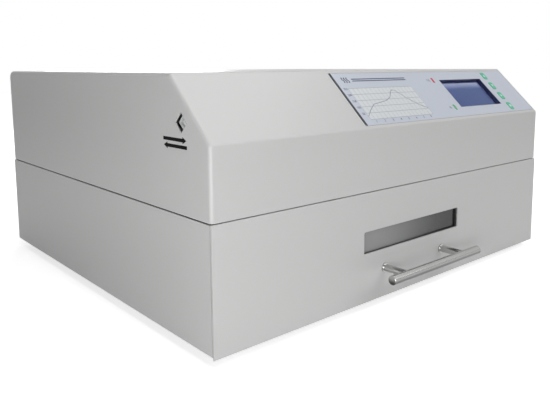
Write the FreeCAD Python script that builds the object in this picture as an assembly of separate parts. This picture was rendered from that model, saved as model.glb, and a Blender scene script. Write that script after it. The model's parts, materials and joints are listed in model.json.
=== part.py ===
import FreeCAD, Part
import math
import os

# Bench-top infrared reflow oven with a pull-out drawer, a bolted sheet-metal assembly.
# Frame: +X right, +Y back, +Z up. The origin is at bench level, at the centre of the overall
# footprint, with the handle and the rear fittings counted. Millimetres.

Vector = FreeCAD.Vector

# Casing
body_width = 580.0
body_depth = 528.0
body_height = 257.0
foot_height = 8.0
seam_height = 125.0
slope_length = 89.8
slope_angle = 43.6
sheet = 1.2
side_bend = 4.0
cross_bend = 4.0
rear_bend = 10.0
seam_gap = 1.4
seam_flange = 14.0
seam_gasket_setback = 1.5
rear_lip = 26.0
side_lip = 13.0
base_lip = 20.0
foot_inset = 45.0
foot_radius = 11.0
fit_gap = 0.3

# Screws
small_screw_radius = 1.5
small_head_radius = 3.2
small_head_height = 2.0
screw_play = 0.15
seam_screw_radius = 2.0
foot_screw_radius = 2.0
foot_head_radius = 4.0

# Drawer front and handle
drawer_plate = 1.5
drawer_gap = 1.2
drawer_top_gap = 1.0
pan_inset = 15.0
pan_depth = 17.5
pan_floor_gap = 1.4
liner_sheet = 0.8
seal_thickness = 3.0
seal_width = 6.0
window_width = 180.0
window_height = 25.0
window_middle = 68.5
window_recess = 4.0
glass_thickness = 4.0
sleeve_wall = 2.0
sleeve_lip = 2.5
handle_spacing = 109.0
handle_length = 167.0
handle_bar_radius = 5.2
handle_post_radius = 4.2
handle_collar_radius = 5.5
handle_collar_height = 1.5
handle_projection = 34.0
handle_height = 34.0
handle_screw_radius = 2.0
handle_screw_grip = 14.0
handle_head_radius = 4.0
handle_head_height = 2.6

# Chamber
floor_insulation_thickness = 12.0
side_insulation_thickness = 12.0
top_insulation_thickness = 20.0
rear_insulation_thickness = 12.0
insulation_gap = 1.0
chamber_depth = 400.0
chamber_headroom = 73.0
opening_below_seam = 12.0

# Drawer runners and tray
rail_height = 35.0
rail_depth = 12.7
rail_wall = 1.2
rail_lip_short = 1.5
rail_length = 390.0
rail_level = 45.0
ball_radius = 2.0
ball_play = 0.2
ball_count = 5
cage_sheet = 0.8
cage_clearance = 0.4
drawer_travel = 290.0
tray_level = 58.0
tray_rim = 18.0
tray_sheet = 1.0
tray_skirt = 18.0
tray_rear_gap = 20.0
tray_front_gap = 6.0
tray_slot_length = 22.0
tray_slot_width = 5.0
tray_slot_columns = 14
tray_slot_rows = 16

# Heaters
reflector_drop = 26.0
reflector_upstand = 18.0
heater_count = 6
heater_radius = 5.5
heater_drop = 18.0
heater_front_inset = 48.0
heater_play = 0.2
bracket_sheet = 1.0
bracket_flange = 14.0
bracket_drop = 30.0
bracket_inset = 26.0
cap_radius = 9.0
cap_length = 16.0
cap_seat = 8.0
probe_radius = 1.5
probe_length = 40.0
probe_nut_radius = 5.0
probe_rise = 46.0
probe_offset = 100.0

# Circulation fan
stirrer_radius = 58.0
stirrer_height = 12.0
stirrer_drop = 5.0
stirrer_blades = 6
blade_sheet = 1.5
hub_radius = 9.0
shaft_radius = 4.0
shaft_play = 0.05
motor_radius = 31.0
motor_height = 42.0
shaft_short = 4.0
motor_plate = 2.0
motor_plate_side = 110.0
standoff_radius = 4.0
standoff_inset = 10.0

# Exhaust fan
fan_side = 80.0
fan_depth = 25.0
fan_motor_setback = 6.0
fan_bore = 38.0
fan_offset = 120.0
fan_level = 112.0
fan_hub = 18.0
fan_blades = 7
fan_tip_gap = 1.2
fan_strut = 4.0
fan_screw_pitch = 71.5
guard_wire = 1.0
guard_rings = 4
guard_pitch = 9.0
duct_bore = 36.0
duct_wall = 0.8

# Rear fittings
rear_sheet = 1.2
inlet_offset = -215.0
inlet_level = 62.0
inlet_flange_width = 50.0
inlet_flange_height = 25.0
inlet_flange_thickness = 3.0
inlet_body_width = 28.0
inlet_body_height = 20.5
inlet_body_depth = 22.0
inlet_socket_width = 24.6
inlet_socket_height = 17.0
inlet_socket_depth = 17.0
inlet_screw_pitch = 40.0
pin_width = 2.0
pin_height = 4.0
pin_length = 13.0
pin_spread = 7.0
pin_rise = 4.0
switch_level = 104.0
switch_bezel_width = 17.0
switch_bezel_height = 25.0
switch_bezel_thickness = 2.5
switch_body_width = 14.6
switch_body_height = 22.0
switch_body_depth = 16.0
rocker_width = 11.4
rocker_half_length = 8.5
rocker_proud = 0.6
rocker_end_room = 0.8
rocker_play = 0.3
rocker_swing = 10.0
rocker_pin_radius = 1.2
fuse_offset = -172.0
fuse_radius = 6.0
fuse_flange_radius = 8.5
fuse_flange_height = 2.0
fuse_cap_radius = 6.6
fuse_cap_height = 7.0
fuse_depth = 26.0
vent_count = 15
vent_width = 4.0
vent_height = 26.0
vent_pitch = 12.0
vent_drop = 52.0

# Power electronics
power_board_width = 150.0
board_margin = 14.0
power_board_height = 80.0
power_board_offset = -60.0
power_board_level = 120.0
board_thickness = 1.6
board_standoff = 10.0
board_standoff_radius = 3.0
board_hole_inset = 6.0
transformer_width = 44.0
transformer_height = 38.0
transformer_depth = 34.0
sink_width = 50.0
sink_height = 40.0
sink_base = 4.0
sink_depth = 24.0
sink_fins = 7
sink_fin = 1.6
triac_width = 10.0
triac_height = 16.0
triac_depth = 4.5
terminal_width = 40.0
terminal_height = 14.0
terminal_depth = 16.0

# Control face
panel_right_gap = 5.4
panel_width = 368.6
panel_edge_gap = 0.4
panel_left_gap = 2.0
panel_margin = 4.0
panel_lap = 0.9
panel_left_lap = 8.0
panel_plate = 1.2
panel_gasket_sheet = 0.8
overlay_sheet = 0.3
key_width = 9.0
key_length = 13.5
key_corner = 2.5
key_margin = 3.6
key_from_right = 53.6
key_proud = 0.6
key_travel = 0.6
key_play = 0.25
key_flange = 1.6
key_flange_sheet = 1.1
key_stem = 1.5
key_switch_gap = 0.1
display_width = 100.0
display_height = 50.0
display_from_key = 67.5
display_lens = 1.5
display_lap = 4.0
display_frame = 4.0
display_border = 7.0
lamp_from_display = 64.0
lamp_width = 4.0
lamp_length = 9.0
lamp_rise = 24.5
lamp_flange = 1.5
lamp_play = 0.15
controller_gap = 7.8
controller_reach = 15.0
controller_height = 76.0
spacer_radius = 2.5
spacer_inset = 5.0
key_switch_side = 6.0
key_switch_body = 3.6
key_switch_button = 1.6

# Data socket on the left side
port_setback = 45.5
port_rise = 16.7
port_side = 13.9
port_recess = 3.0
port_shell = 11.2
port_bore_width = 8.6
port_bore_height = 8.0
port_bore_depth = 9.0
port_tongue_width = 5.6
port_tongue_height = 3.2
port_board_half = 13.0
port_board_rise = 9.0
port_board_fall = 19.0
port_board_gap = 14.0
port_spacer_radius = 2.6
port_spacer_reach = 9.0
port_spacer_fall = 14.0

# Places worked out from the sizes above
half_width = body_width / 2
base_z = foot_height
floor_z = base_z + sheet
seam_z = base_z + seam_height
top_z = base_z + body_height
slope_depth = slope_length * math.cos(math.radians(slope_angle))
slope_rise = slope_length * math.sin(math.radians(slope_angle))
slope_z = top_z - slope_rise
base_top_z = seam_z - seam_gap / 2
cover_z = seam_z + seam_gap / 2

handle_reach = handle_projection + handle_bar_radius
rear_proud = fuse_flange_height + fuse_cap_height - sheet
front_y = handle_reach - (handle_reach + body_depth + rear_proud) / 2
back_y = front_y + body_depth
rear_out_y = back_y - sheet
rear_in_y = rear_out_y - rear_sheet
base_front_y = front_y + drawer_plate + drawer_gap

drawer_top_z = cover_z - drawer_top_gap
pan_half = half_width - pan_inset
pan_floor_z = floor_z + pan_floor_gap
pan_back_y = front_y + pan_depth
drawer_back_y = pan_back_y + liner_sheet
seal_back_y = drawer_back_y + seal_thickness
frame_front_y = seal_back_y + fit_gap
chamber_front_y = frame_front_y + liner_sheet
chamber_back_y = chamber_front_y + chamber_depth
rear_insulation_y = chamber_back_y + liner_sheet

insulation_half = half_width - seam_flange - insulation_gap
liner_half = insulation_half - side_insulation_thickness
cavity_half = liner_half - liner_sheet
liner_floor_z = floor_z + floor_insulation_thickness
cavity_floor_z = liner_floor_z + liner_sheet
insulation_top_z = top_z - sheet - chamber_headroom
liner_top_z = insulation_top_z - top_insulation_thickness
cavity_top_z = liner_top_z - liner_sheet
opening_top_z = drawer_top_z - opening_below_seam

window_z = base_z + window_middle
handle_z = base_z + handle_height
handle_y = front_y - handle_projection

rail_front_y = chamber_front_y + fit_gap
drawer_side_x = cavity_half - rail_depth
tray_half = drawer_side_x - sheet
tray_back_y = chamber_back_y - tray_rear_gap
tray_front_y = drawer_back_y + tray_front_gap

reflector_z = cavity_top_z - reflector_drop
heater_z = reflector_z - heater_drop
bracket_x = cavity_half - bracket_inset
fan_z = base_z + fan_level
stir_y = (chamber_front_y + chamber_back_y) / 2
inlet_z = base_z + inlet_level
switch_z = base_z + switch_level
port_y = front_y + port_setback
port_z = slope_z + port_rise

rail_end_y = rail_front_y + rail_length
inner_rail_half = rail_height / 2 - rail_wall - 2 * ball_radius - 2 * ball_play
ball_v = inner_rail_half + ball_play + ball_radius
cage_u = rail_wall + cage_clearance
inner_flange_u = cage_u + cage_sheet + cage_clearance
ball_u = (inner_flange_u + rail_depth) / 2
outer_flange_u = rail_depth - rail_lip_short
probe_z = tray_level + probe_rise
heater_first_y = chamber_front_y + heater_front_inset
heater_last_y = chamber_back_y - probe_length - 3 * heater_radius
motor_z = insulation_top_z + motor_plate
stirrer_z = cavity_top_z - stirrer_drop - stirrer_height
shaft_top_z = motor_z + motor_height - shaft_short
fan_front_y = rear_in_y - fan_depth
fan_motor_y = fan_front_y + fan_motor_setback
rocker_y = rear_out_y + rocker_proud
rocker_room = rocker_half_length + rocker_end_room
power_board_z = base_z + power_board_level
power_back_y = rear_in_y - board_standoff
power_face_y = power_back_y - board_thickness
transformer_x = power_board_offset - power_board_width / 2 + board_margin + transformer_width / 2
sink_x = power_board_offset + power_board_width / 2 - board_margin - sink_width / 2
port_board_x = -half_width + sheet + port_board_gap
port_face_x = -half_width + port_recess

# The control face is laid out in x, t (up the slope) and n (out of the slope)
panel_right = half_width - panel_right_gap
panel_left = panel_right - panel_width
panel_low = panel_margin + panel_edge_gap
panel_high = slope_length - panel_low
panel_middle = slope_length / 2
gasket_n = -sheet - panel_gasket_sheet
plate_n = gasket_n - panel_plate
key_x = panel_right - key_from_right
key_pitch = (panel_high - panel_low - 2 * key_margin - key_length) / 3
display_x = key_x - display_from_key
lamp_x = display_x - lamp_from_display
lens_n = plate_n - display_lens
module_n = lens_n - display_frame
controller_n = module_n - controller_gap
controller_left = lamp_x - controller_reach
controller_right = key_x + controller_reach
flange_left = panel_left - panel_left_gap - panel_left_lap
flange_right = panel_right + panel_edge_gap + panel_lap
flange_low = panel_margin - panel_lap
flange_high = slope_length - flange_low
key_flange_top = plate_n - fit_gap
key_stem_end = key_flange_top - key_flange_sheet - key_stem
switch_top_n = key_stem_end - key_travel - key_switch_gap


def box(x0, x1, y0, y1, z0, z1):
    """Block between two corners."""
    return Part.makeBox(x1 - x0, y1 - y0, z1 - z0, Vector(x0, y0, z0))


def rod(radius, start, end):
    """Round bar from one point to another."""
    along = Vector(*end) - Vector(*start)
    return Part.makeCylinder(radius, along.Length, Vector(*start), along)


def slab(points, along):
    """Closed outline of points, extruded along a vector."""
    corners = [Vector(*point) for point in points]
    face = Part.Face(Part.makePolygon(corners + corners[:1]))
    return face.extrude(Vector(*along))


def fused(shapes):
    """Several touching shapes as one clean solid."""
    return shapes[0].multiFuse(shapes[1:]).removeSplitter()


def both_sides(shape):
    """A right-hand shape and its mirror image on the left."""
    return [shape, shape.mirror(Vector(0, 0, 0), Vector(1, 0, 0))]


def upright_edges(shape, direction):
    """Straight edges of a shape that run along a direction."""
    axis = Vector(*direction)
    edges = []
    for edge in shape.Edges:
        run = edge.Vertexes[-1].Point - edge.Vertexes[0].Point
        if run.Length > 0 and run.cross(axis).Length < 1e-6:
            edges.append(edge)
    return edges


def rounded_box(x0, x1, y0, y1, z0, z1, radius, direction):
    """Block with the edges that run one way rounded."""
    block = box(x0, x1, y0, y1, z0, z1)
    return block.makeFillet(radius, upright_edges(block, direction))


def on_slope(shape):
    """Moves a shape from the control face's own x, t, n into the frame."""
    placed = shape.copy()
    placed.rotate(Vector(0, 0, 0), Vector(1, 0, 0), slope_angle)
    placed.translate(Vector(0, front_y, slope_z))
    return placed


def screw(seat, along, radius, length, head_radius, head_height):
    """Pan-head screw with a cross slot; seat is the point under the head."""
    seat = Vector(*seat)
    along = Vector(*along)
    along.normalize()
    shank = Part.makeCylinder(radius, length, seat, along)
    head = Part.makeCylinder(head_radius, head_height, seat, along * -1)
    crown = [edge for edge in head.Edges if (edge.CenterOfMass - seat).dot(along) < -head_height * 0.9]
    head = head.makeFillet(head_height * 0.45, crown[:1])
    slot_width = head_radius * 0.25
    slot = Part.makeBox(head_radius * 1.1, slot_width, head_height)
    slot.translate(Vector(-head_radius * 0.55, -slot_width / 2, head_height * 0.5))
    cross = slot.copy()
    cross.rotate(Vector(0, 0, 0), Vector(0, 0, 1), 90)
    turn = FreeCAD.Rotation(Vector(0, 0, 1), along * -1)
    tool = slot.fuse(cross)
    tool.Placement = FreeCAD.Placement(seat, turn)
    return shank.fuse(head).removeSplitter().cut(tool)


def hex_nut(seat, along, across, height, bore):
    """Plain hexagon nut standing on its seat."""
    seat = Vector(*seat)
    along = Vector(*along)
    corners = []
    for index in range(6):
        angle = math.radians(60 * index)
        reach = across / math.sqrt(3)
        corners.append(Vector(reach * math.cos(angle), reach * math.sin(angle), 0))
    nut = Part.Face(Part.makePolygon(corners + corners[:1])).extrude(Vector(0, 0, height))
    nut = nut.cut(Part.makeCylinder(bore, height))
    nut.Placement = FreeCAD.Placement(seat, FreeCAD.Rotation(Vector(0, 0, 1), along))
    return nut


def spread(first, last, count):
    """Evenly spaced places from first to last."""
    return [first + (last - first) * index / (count - 1) for index in range(count)]


def seam_screw_places():
    """Places of the screws that join the seam flanges, x and y."""
    x = half_width - seam_flange / 2
    rows = spread(base_front_y + 40, rear_in_y - 40, 4)
    return [(side * x, y) for side in (-1, 1) for y in rows]


def rear_screw_places():
    """Places of the screws that hold the rear panel, x and z."""
    top_row = [(x, top_z - (rear_bend + rear_lip) / 2) for x in spread(-half_width + 60, half_width - 60, 4)]
    low_row = [(x, base_z + (side_bend + base_lip) / 2) for x in spread(-half_width + 60, half_width - 60, 4)]
    side_x = half_width - (side_bend + side_lip) / 2
    sides = [(side * side_x, z) for side in (-1, 1) for z in (seam_z - 40, seam_z + 40)]
    return top_row + low_row + sides


def foot_places():
    """Places of the feet, x and y."""
    x = half_width - foot_inset
    return [(side * x, y) for side in (-1, 1) for y in (base_front_y + foot_inset, back_y - foot_inset)]


def rounded_outline(points, radii):
    """Closed y, z outline with an arc at each corner that has a radius, as a face at x = 0."""
    edges = []
    ends = []
    count = len(points)
    for index in range(count):
        corner = Vector(0, *points[index])
        before = Vector(0, *points[index - 1]) - corner
        after = Vector(0, *points[(index + 1) % count]) - corner
        before.normalize()
        after.normalize()
        radius = radii[index]
        if radius == 0:
            ends.append((corner, corner))
            continue
        half = before.getAngle(after) / 2
        middle = before + after
        middle.normalize()
        reach = radius / math.tan(half)
        centre = corner + middle * (radius / math.sin(half))
        start = corner + before * reach
        end = corner + after * reach
        edges.append(Part.Arc(start, centre - middle * radius, end).toShape())
        ends.append((start, end))
    for index in range(count):
        edges.append(Part.makeLine(ends[index - 1][1], ends[index][0]))
    return Part.Face(Part.Wire(Part.__sortEdges__(edges)))


def cover_block(inset):
    """The hood as a full block, drawn in on every side by a distance."""
    tilt = math.radians(slope_angle)
    low = cover_z + inset
    foot = slope_z + inset * (1 / math.cos(tilt) - math.tan(tilt))
    crest = front_y + slope_depth + inset * math.tan(tilt / 2)
    points = [
        (front_y + inset, low),
        (front_y + inset, foot),
        (crest, top_z - inset),
        (back_y - inset, top_z - inset),
        (back_y - inset, low),
    ]
    radii = [0, cross_bend - inset, cross_bend - inset, rear_bend - inset, 0]
    half = half_width - inset
    block = rounded_outline(points, radii).extrude(Vector(2 * half, 0, 0))
    block.translate(Vector(-half, 0, 0))
    rims = []
    for edge in block.Edges:
        at_side = all(abs(abs(vertex.X) - half) < 1e-6 for vertex in edge.Vertexes)
        level = all(abs(vertex.Z - low) < 1e-6 for vertex in edge.Vertexes)
        across = abs(edge.Vertexes[0].X - edge.Vertexes[-1].X) > 1
        if at_side and not level and not across:
            rims.append(edge)
    return block.makeFillet(side_bend - inset, rims)


def port_prism(side, x0, x1):
    """Square bar set on its corner, along X, at the data socket."""
    bar = box(x0, x1, -side / 2, side / 2, -side / 2, side / 2)
    bar.rotate(Vector(0, 0, 0), Vector(1, 0, 0), 45)
    bar.translate(Vector(0, port_y, port_z))
    return bar


def make_upper_cover():
    """Folded hood: top, slope, fascia, sides, bottom flanges and rear lips."""
    cover = cover_block(0).cut(cover_block(sheet))
    inner = half_width - seam_flange
    lip_half = half_width - side_lip
    tools = [
        box(-inner, inner, front_y + seam_flange, back_y + 1, cover_z - 1, cover_z + sheet + 1),
        box(-lip_half, lip_half, rear_out_y - 1, back_y + 1, cover_z - 1, top_z - rear_lip),
        box(-half_width + sheet, half_width - sheet, rear_in_y - fit_gap, rear_out_y, cover_z - 1, cover_z + sheet),
        port_prism(port_side, -half_width - 1, -half_width + sheet + 1),
        on_slope(box(panel_left - panel_left_gap, panel_right + panel_edge_gap, panel_margin,
                     slope_length - panel_margin, -sheet - 1, 1)),
    ]
    for x, y in seam_screw_places():
        tools.append(rod(seam_screw_radius + screw_play, (x, y, cover_z - 1), (x, y, cover_z + sheet + 1)))
    for x, z in rear_screw_places():
        if z > seam_z:
            tools.append(rod(small_screw_radius + screw_play, (x, rear_in_y, z), (x, back_y + 1, z)))
    return cover.cut(Part.makeCompound(tools))


def make_base_pan():
    """Folded lower pan: floor, side walls with seam flanges, and a lip round the back."""
    half = half_width
    block = box(-half, half, base_front_y, back_y, base_z, base_top_z)
    hollow = box(-half + sheet, half - sheet, base_front_y - 10, back_y - sheet, floor_z, base_top_z - sheet)
    bends = []
    inner_bends = []
    for solid, found, low in ((block, bends, base_z), (hollow, inner_bends, floor_z)):
        for edge in upright_edges(solid, (0, 1, 0)):
            if abs(edge.Vertexes[0].Z - low) < 1e-6:
                found.append(edge)
    pan = block.makeFillet(side_bend, bends).cut(hollow.makeFillet(side_bend - sheet, inner_bends))
    inner = half - seam_flange
    lip_half = half - side_lip
    tools = [
        box(-inner, inner, base_front_y - 1, back_y + 1, base_top_z - sheet - 1, base_top_z + 1),
        box(-lip_half, lip_half, rear_out_y - 1, back_y + 1, base_z + base_lip, base_top_z + 1),
        box(-half + sheet, half - sheet, rear_in_y - fit_gap, rear_out_y, base_top_z - sheet, base_top_z + 1),
    ]
    for x, y in seam_screw_places():
        tools.append(rod(seam_screw_radius + screw_play, (x, y, base_top_z - sheet - 1), (x, y, base_top_z + 1)))
    for x, z in rear_screw_places():
        if z < seam_z:
            tools.append(rod(small_screw_radius + screw_play, (x, rear_in_y, z), (x, back_y + 1, z)))
    for x, y in foot_places():
        tools.append(rod(foot_screw_radius + screw_play, (x, y, base_z - 1), (x, y, floor_z + 1)))
    return pan.cut(Part.makeCompound(tools))


def make_rear_panel():
    """Flat back plate behind the lips, with the cut-outs for what it carries."""
    half = half_width - side_bend - fit_gap
    panel = box(-half, half, rear_in_y, rear_out_y, base_z + side_bend + fit_gap, top_z - rear_bend - fit_gap)
    before = rear_in_y - 1
    after = rear_out_y + 1
    tools = [rod(fan_bore, (fan_offset, before, fan_z), (fan_offset, after, fan_z))]
    tools.append(box(inlet_offset - inlet_body_width / 2 - fit_gap, inlet_offset + inlet_body_width / 2 + fit_gap,
                     before, after, inlet_z - inlet_body_height / 2 - fit_gap,
                     inlet_z + inlet_body_height / 2 + fit_gap))
    tools.append(box(inlet_offset - switch_body_width / 2 - fit_gap, inlet_offset + switch_body_width / 2 + fit_gap,
                     before, after, switch_z - switch_body_height / 2 - fit_gap,
                     switch_z + switch_body_height / 2 + fit_gap))
    tools.append(rod(fuse_radius + fit_gap, (fuse_offset, before, inlet_z), (fuse_offset, after, inlet_z)))
    vent_reach = vent_pitch * (vent_count - 1) / 2
    vent_z = top_z - vent_drop
    for x in spread(-vent_reach, vent_reach, vent_count):
        tools.append(rounded_box(x - vent_width / 2, x + vent_width / 2, before, after, vent_z - vent_height / 2,
                                 vent_z + vent_height / 2, vent_width * 0.45, (0, 1, 0)))
    holes = rear_screw_places() + inlet_screw_places()
    holes += fan_screw_places()
    for x, z in holes:
        tools.append(rod(small_screw_radius + screw_play, (x, before, z), (x, after, z)))
    return panel.cut(Part.makeCompound(tools))


def make_seam_gaskets():
    """Dark strips between the seam flanges, left and right."""
    strip = box(half_width - seam_flange, half_width - seam_gasket_setback, base_front_y, rear_in_y - fit_gap,
                base_top_z, cover_z)
    holes = [rod(seam_screw_radius + screw_play, (x, y, base_top_z - 1), (x, y, cover_z + 1))
             for x, y in seam_screw_places() if x > 0]
    return both_sides(strip.cut(Part.makeCompound(holes)))


def make_seam_screws():
    """Screws up through the seam flanges."""
    grip = seam_gap + 2 * sheet + 4.5
    seat_z = base_top_z - sheet
    return [screw((x, y, seat_z), (0, 0, 1), seam_screw_radius, grip, 3.8, 2.4) for x, y in seam_screw_places()]


def make_seam_nuts():
    """Nuts on the upper seam flange."""
    return [hex_nut((x, y, cover_z + sheet), (0, 0, 1), 7.0, 3.2, seam_screw_radius + 0.02)
            for x, y in seam_screw_places()]


def make_rear_screws():
    """Screws through the lips into the rear panel."""
    return [screw((x, back_y, z), (0, -1, 0), small_screw_radius, sheet + rear_sheet + 2, small_head_radius,
                  small_head_height) for x, z in rear_screw_places()]


def make_rubber_feet():
    """Tapered feet with a recess for the screw head."""
    feet = []
    for x, y in foot_places():
        foot = Part.makeCone(foot_radius * 0.86, foot_radius, foot_height, Vector(x, y, 0))
        foot = foot.cut(rod(foot_screw_radius + screw_play, (x, y, -1), (x, y, foot_height + 1)))
        feet.append(foot.cut(rod(foot_head_radius + fit_gap, (x, y, -1), (x, y, foot_height * 0.55))))
    return feet


def make_foot_screws():
    """Screws up through the feet into the floor."""
    seat_z = foot_height * 0.55
    grip = floor_z - seat_z + 3
    return [screw((x, y, seat_z), (0, 0, 1), foot_screw_radius, grip, foot_head_radius, 2.5)
            for x, y in foot_places()]


def sleeve_opening(grow, y0, y1):
    """Window-shaped bar, grown by a distance all round."""
    wide = window_width / 2 + grow
    high = window_height / 2 + grow
    return box(-wide, wide, y0, y1, window_z - high, window_z + high)


def handle_screw_places():
    """The two handle fixings along X."""
    return [-handle_spacing / 2, handle_spacing / 2]


def make_drawer_front():
    """Flat front sheet with a flanged pan behind it."""
    plate = box(-half_width, half_width, front_y, front_y + drawer_plate, base_z, drawer_top_z)
    pan = box(-pan_half, pan_half, front_y, pan_back_y, pan_floor_z, drawer_top_z)
    hollow = box(-pan_half + sheet, pan_half - sheet, front_y + drawer_plate, pan_back_y + 1, pan_floor_z + sheet,
                 drawer_top_z - sheet)
    front = fused([plate, pan]).cut(hollow)
    window = rounded_box(-window_width / 2, window_width / 2, front_y - 1, front_y + drawer_plate + 1,
                         window_z - window_height / 2, window_z + window_height / 2, 2.0, (0, 1, 0))
    tools = [window]
    for x in handle_screw_places():
        tools.append(rod(handle_screw_radius + screw_play, (x, front_y - 1, handle_z), (x, front_y + 5, handle_z)))
    return front.cut(Part.makeCompound(tools))


def make_drawer_insulation():
    """Board inside the drawer front."""
    board = box(-pan_half + sheet + fit_gap, pan_half - sheet - fit_gap, front_y + drawer_plate, pan_back_y,
                pan_floor_z + sheet + fit_gap, drawer_top_z - sheet - fit_gap)
    tools = [sleeve_opening(sleeve_wall + fit_gap, front_y, pan_back_y + 1)]
    head = handle_head_radius + 1
    pocket = front_y + drawer_plate + handle_head_height + 0.5
    for x in handle_screw_places():
        tools.append(rod(head, (x, front_y, handle_z), (x, pocket, handle_z)))
    return board.cut(Part.makeCompound(tools))


def make_drawer_inner_plate():
    """Bright sheet that closes the drawer front on the chamber side."""
    plate = box(-pan_half, pan_half, pan_back_y, drawer_back_y, pan_floor_z, drawer_top_z)
    return plate.cut(sleeve_opening(sleeve_wall + fit_gap, pan_back_y - 1, drawer_back_y + 1))


def make_door_seal():
    """Rubber ring round the chamber opening, carried by the drawer."""
    gap = 1.8
    inner_half = cavity_half + gap
    low = cavity_floor_z - gap
    high = opening_top_z + gap
    ring = box(-inner_half - seal_width, inner_half + seal_width, drawer_back_y, seal_back_y, low - seal_width,
               high + seal_width)
    crest = [edge for edge in ring.Edges if all(abs(v.Y - seal_back_y) < 1e-6 for v in edge.Vertexes)]
    ring = ring.makeFillet(seal_thickness * 0.5, crest)
    return ring.cut(box(-inner_half, inner_half, drawer_back_y - 1, seal_back_y + 1, low, high))


def make_window_sleeve():
    """Dark frame that lines the window and holds the glass against a lip."""
    sleeve = sleeve_opening(sleeve_wall, front_y + drawer_plate, drawer_back_y)
    seat_y = front_y + window_recess
    tools = [sleeve_opening(0, front_y, seat_y + glass_thickness), sleeve_opening(-sleeve_lip, front_y, drawer_back_y + 1)]
    return sleeve.cut(Part.makeCompound(tools))


def make_window_glass():
    """Pane in the sleeve."""
    seat_y = front_y + window_recess
    return sleeve_opening(-fit_gap, seat_y, seat_y + glass_thickness)


def make_handle_bar():
    """Round bar with chamfered ends, bored for its two posts."""
    half = handle_length / 2
    bar = rod(handle_bar_radius, (-half, handle_y, handle_z), (half, handle_y, handle_z))
    ends = [edge for edge in bar.Edges if abs(abs(edge.CenterOfMass.x) - half) < 1e-6]
    bar = bar.makeChamfer(0.6, ends)
    for x in handle_screw_places():
        bar = bar.cut(rod(handle_post_radius, (x, handle_y, handle_z), (x, front_y, handle_z)))
    return bar


def make_handle_posts():
    """Posts with a collar at the drawer front, tapped for the screws."""
    posts = []
    for x in handle_screw_places():
        post = rod(handle_post_radius, (x, handle_y, handle_z), (x, front_y, handle_z))
        collar = rod(handle_collar_radius, (x, front_y - handle_collar_height, handle_z), (x, front_y, handle_z))
        bore = rod(handle_screw_radius + 0.02, (x, front_y - handle_screw_grip, handle_z), (x, front_y + 1, handle_z))
        posts.append(post.fuse(collar).removeSplitter().cut(bore))
    return posts


def make_handle_screws():
    """Screws from inside the drawer front into the posts."""
    seat_y = front_y + drawer_plate
    grip = drawer_plate + handle_screw_grip - 1
    return [screw((x, seat_y, handle_z), (0, -1, 0), handle_screw_radius, grip, handle_head_radius,
                  handle_head_height) for x in handle_screw_places()]


def make_drawer_sides():
    """Side members that carry the tray on the inner rails."""
    low = rail_level - rail_height / 2 + 2
    side = box(drawer_side_x - sheet, drawer_side_x, drawer_back_y, tray_back_y + sheet, low, tray_level + tray_rim)
    return both_sides(side)


def make_drawer_rear_rail():
    """Cross member at the back of the tray."""
    low = rail_level - rail_height / 2 + 2
    wall = box(-tray_half, tray_half, tray_back_y, tray_back_y + sheet, low, tray_level + tray_rim)
    foot = box(-tray_half, tray_half, tray_back_y - 12, tray_back_y + sheet, low, low + sheet)
    return fused([wall, foot])


def make_work_tray():
    """Slotted tray with a skirt all round."""
    pan = box(-tray_half, tray_half, tray_front_y, tray_back_y, tray_level - tray_skirt, tray_level)
    hollow = box(-tray_half + tray_sheet, tray_half - tray_sheet, tray_front_y + tray_sheet, tray_back_y - tray_sheet,
                 tray_level - tray_skirt - 1, tray_level - tray_sheet)
    pan = pan.cut(hollow)
    margin = 20
    slots = []
    for x in spread(-tray_half + margin + tray_slot_length / 2, tray_half - margin - tray_slot_length / 2,
                    tray_slot_columns):
        for y in spread(tray_front_y + margin, tray_back_y - margin, tray_slot_rows):
            slots.append(rounded_box(x - tray_slot_length / 2, x + tray_slot_length / 2, y - tray_slot_width / 2,
                                     y + tray_slot_width / 2, tray_level - tray_sheet - 1, tray_level + 1,
                                     tray_slot_width * 0.45, (0, 0, 1)))
    return pan.cut(Part.makeCompound(slots))


def rail_bar(u0, u1, v0, v1, y0, y1):
    """Part of a right-hand runner: u in from the chamber wall, v up from the runner's middle."""
    return box(cavity_half - u1, cavity_half - u0, y0, y1, rail_level + v0, rail_level + v1)


def make_outer_rails():
    """Fixed runner channels on the chamber walls."""
    half = rail_height / 2
    web = rail_bar(0, rail_wall, -half, half, rail_front_y, rail_end_y)
    high = rail_bar(0, outer_flange_u, half - rail_wall, half, rail_front_y, rail_end_y)
    low = rail_bar(0, outer_flange_u, -half, -half + rail_wall, rail_front_y, rail_end_y)
    return both_sides(fused([web, high, low]))


def make_inner_rails():
    """Runner channels on the drawer sides."""
    half = inner_rail_half
    web = rail_bar(rail_depth - rail_wall, rail_depth, -half, half, rail_front_y, rail_end_y)
    high = rail_bar(inner_flange_u, rail_depth, half - rail_wall, half, rail_front_y, rail_end_y)
    low = rail_bar(inner_flange_u, rail_depth, -half, -half + rail_wall, rail_front_y, rail_end_y)
    return both_sides(fused([web, high, low]))


def make_ball_cages():
    """Ball cages that roll between the channels at half the drawer's speed."""
    start = rail_front_y + drawer_travel / 2 + 4
    end = rail_end_y - drawer_travel / 2 - 4
    half = cage_sheet / 2
    pieces = [rail_bar(cage_u, cage_u + cage_sheet, -ball_v - half, ball_v + half, start, end)]
    for v in (-ball_v, ball_v):
        pieces.append(rail_bar(cage_u, ball_u + ball_radius, v - half, v + half, start, end))
        for y in spread(start + 3 * ball_radius, end - 3 * ball_radius, ball_count):
            pieces.append(Part.makeSphere(ball_radius, Vector(cavity_half - ball_u, y, rail_level + v)))
    return both_sides(fused(pieces))


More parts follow.
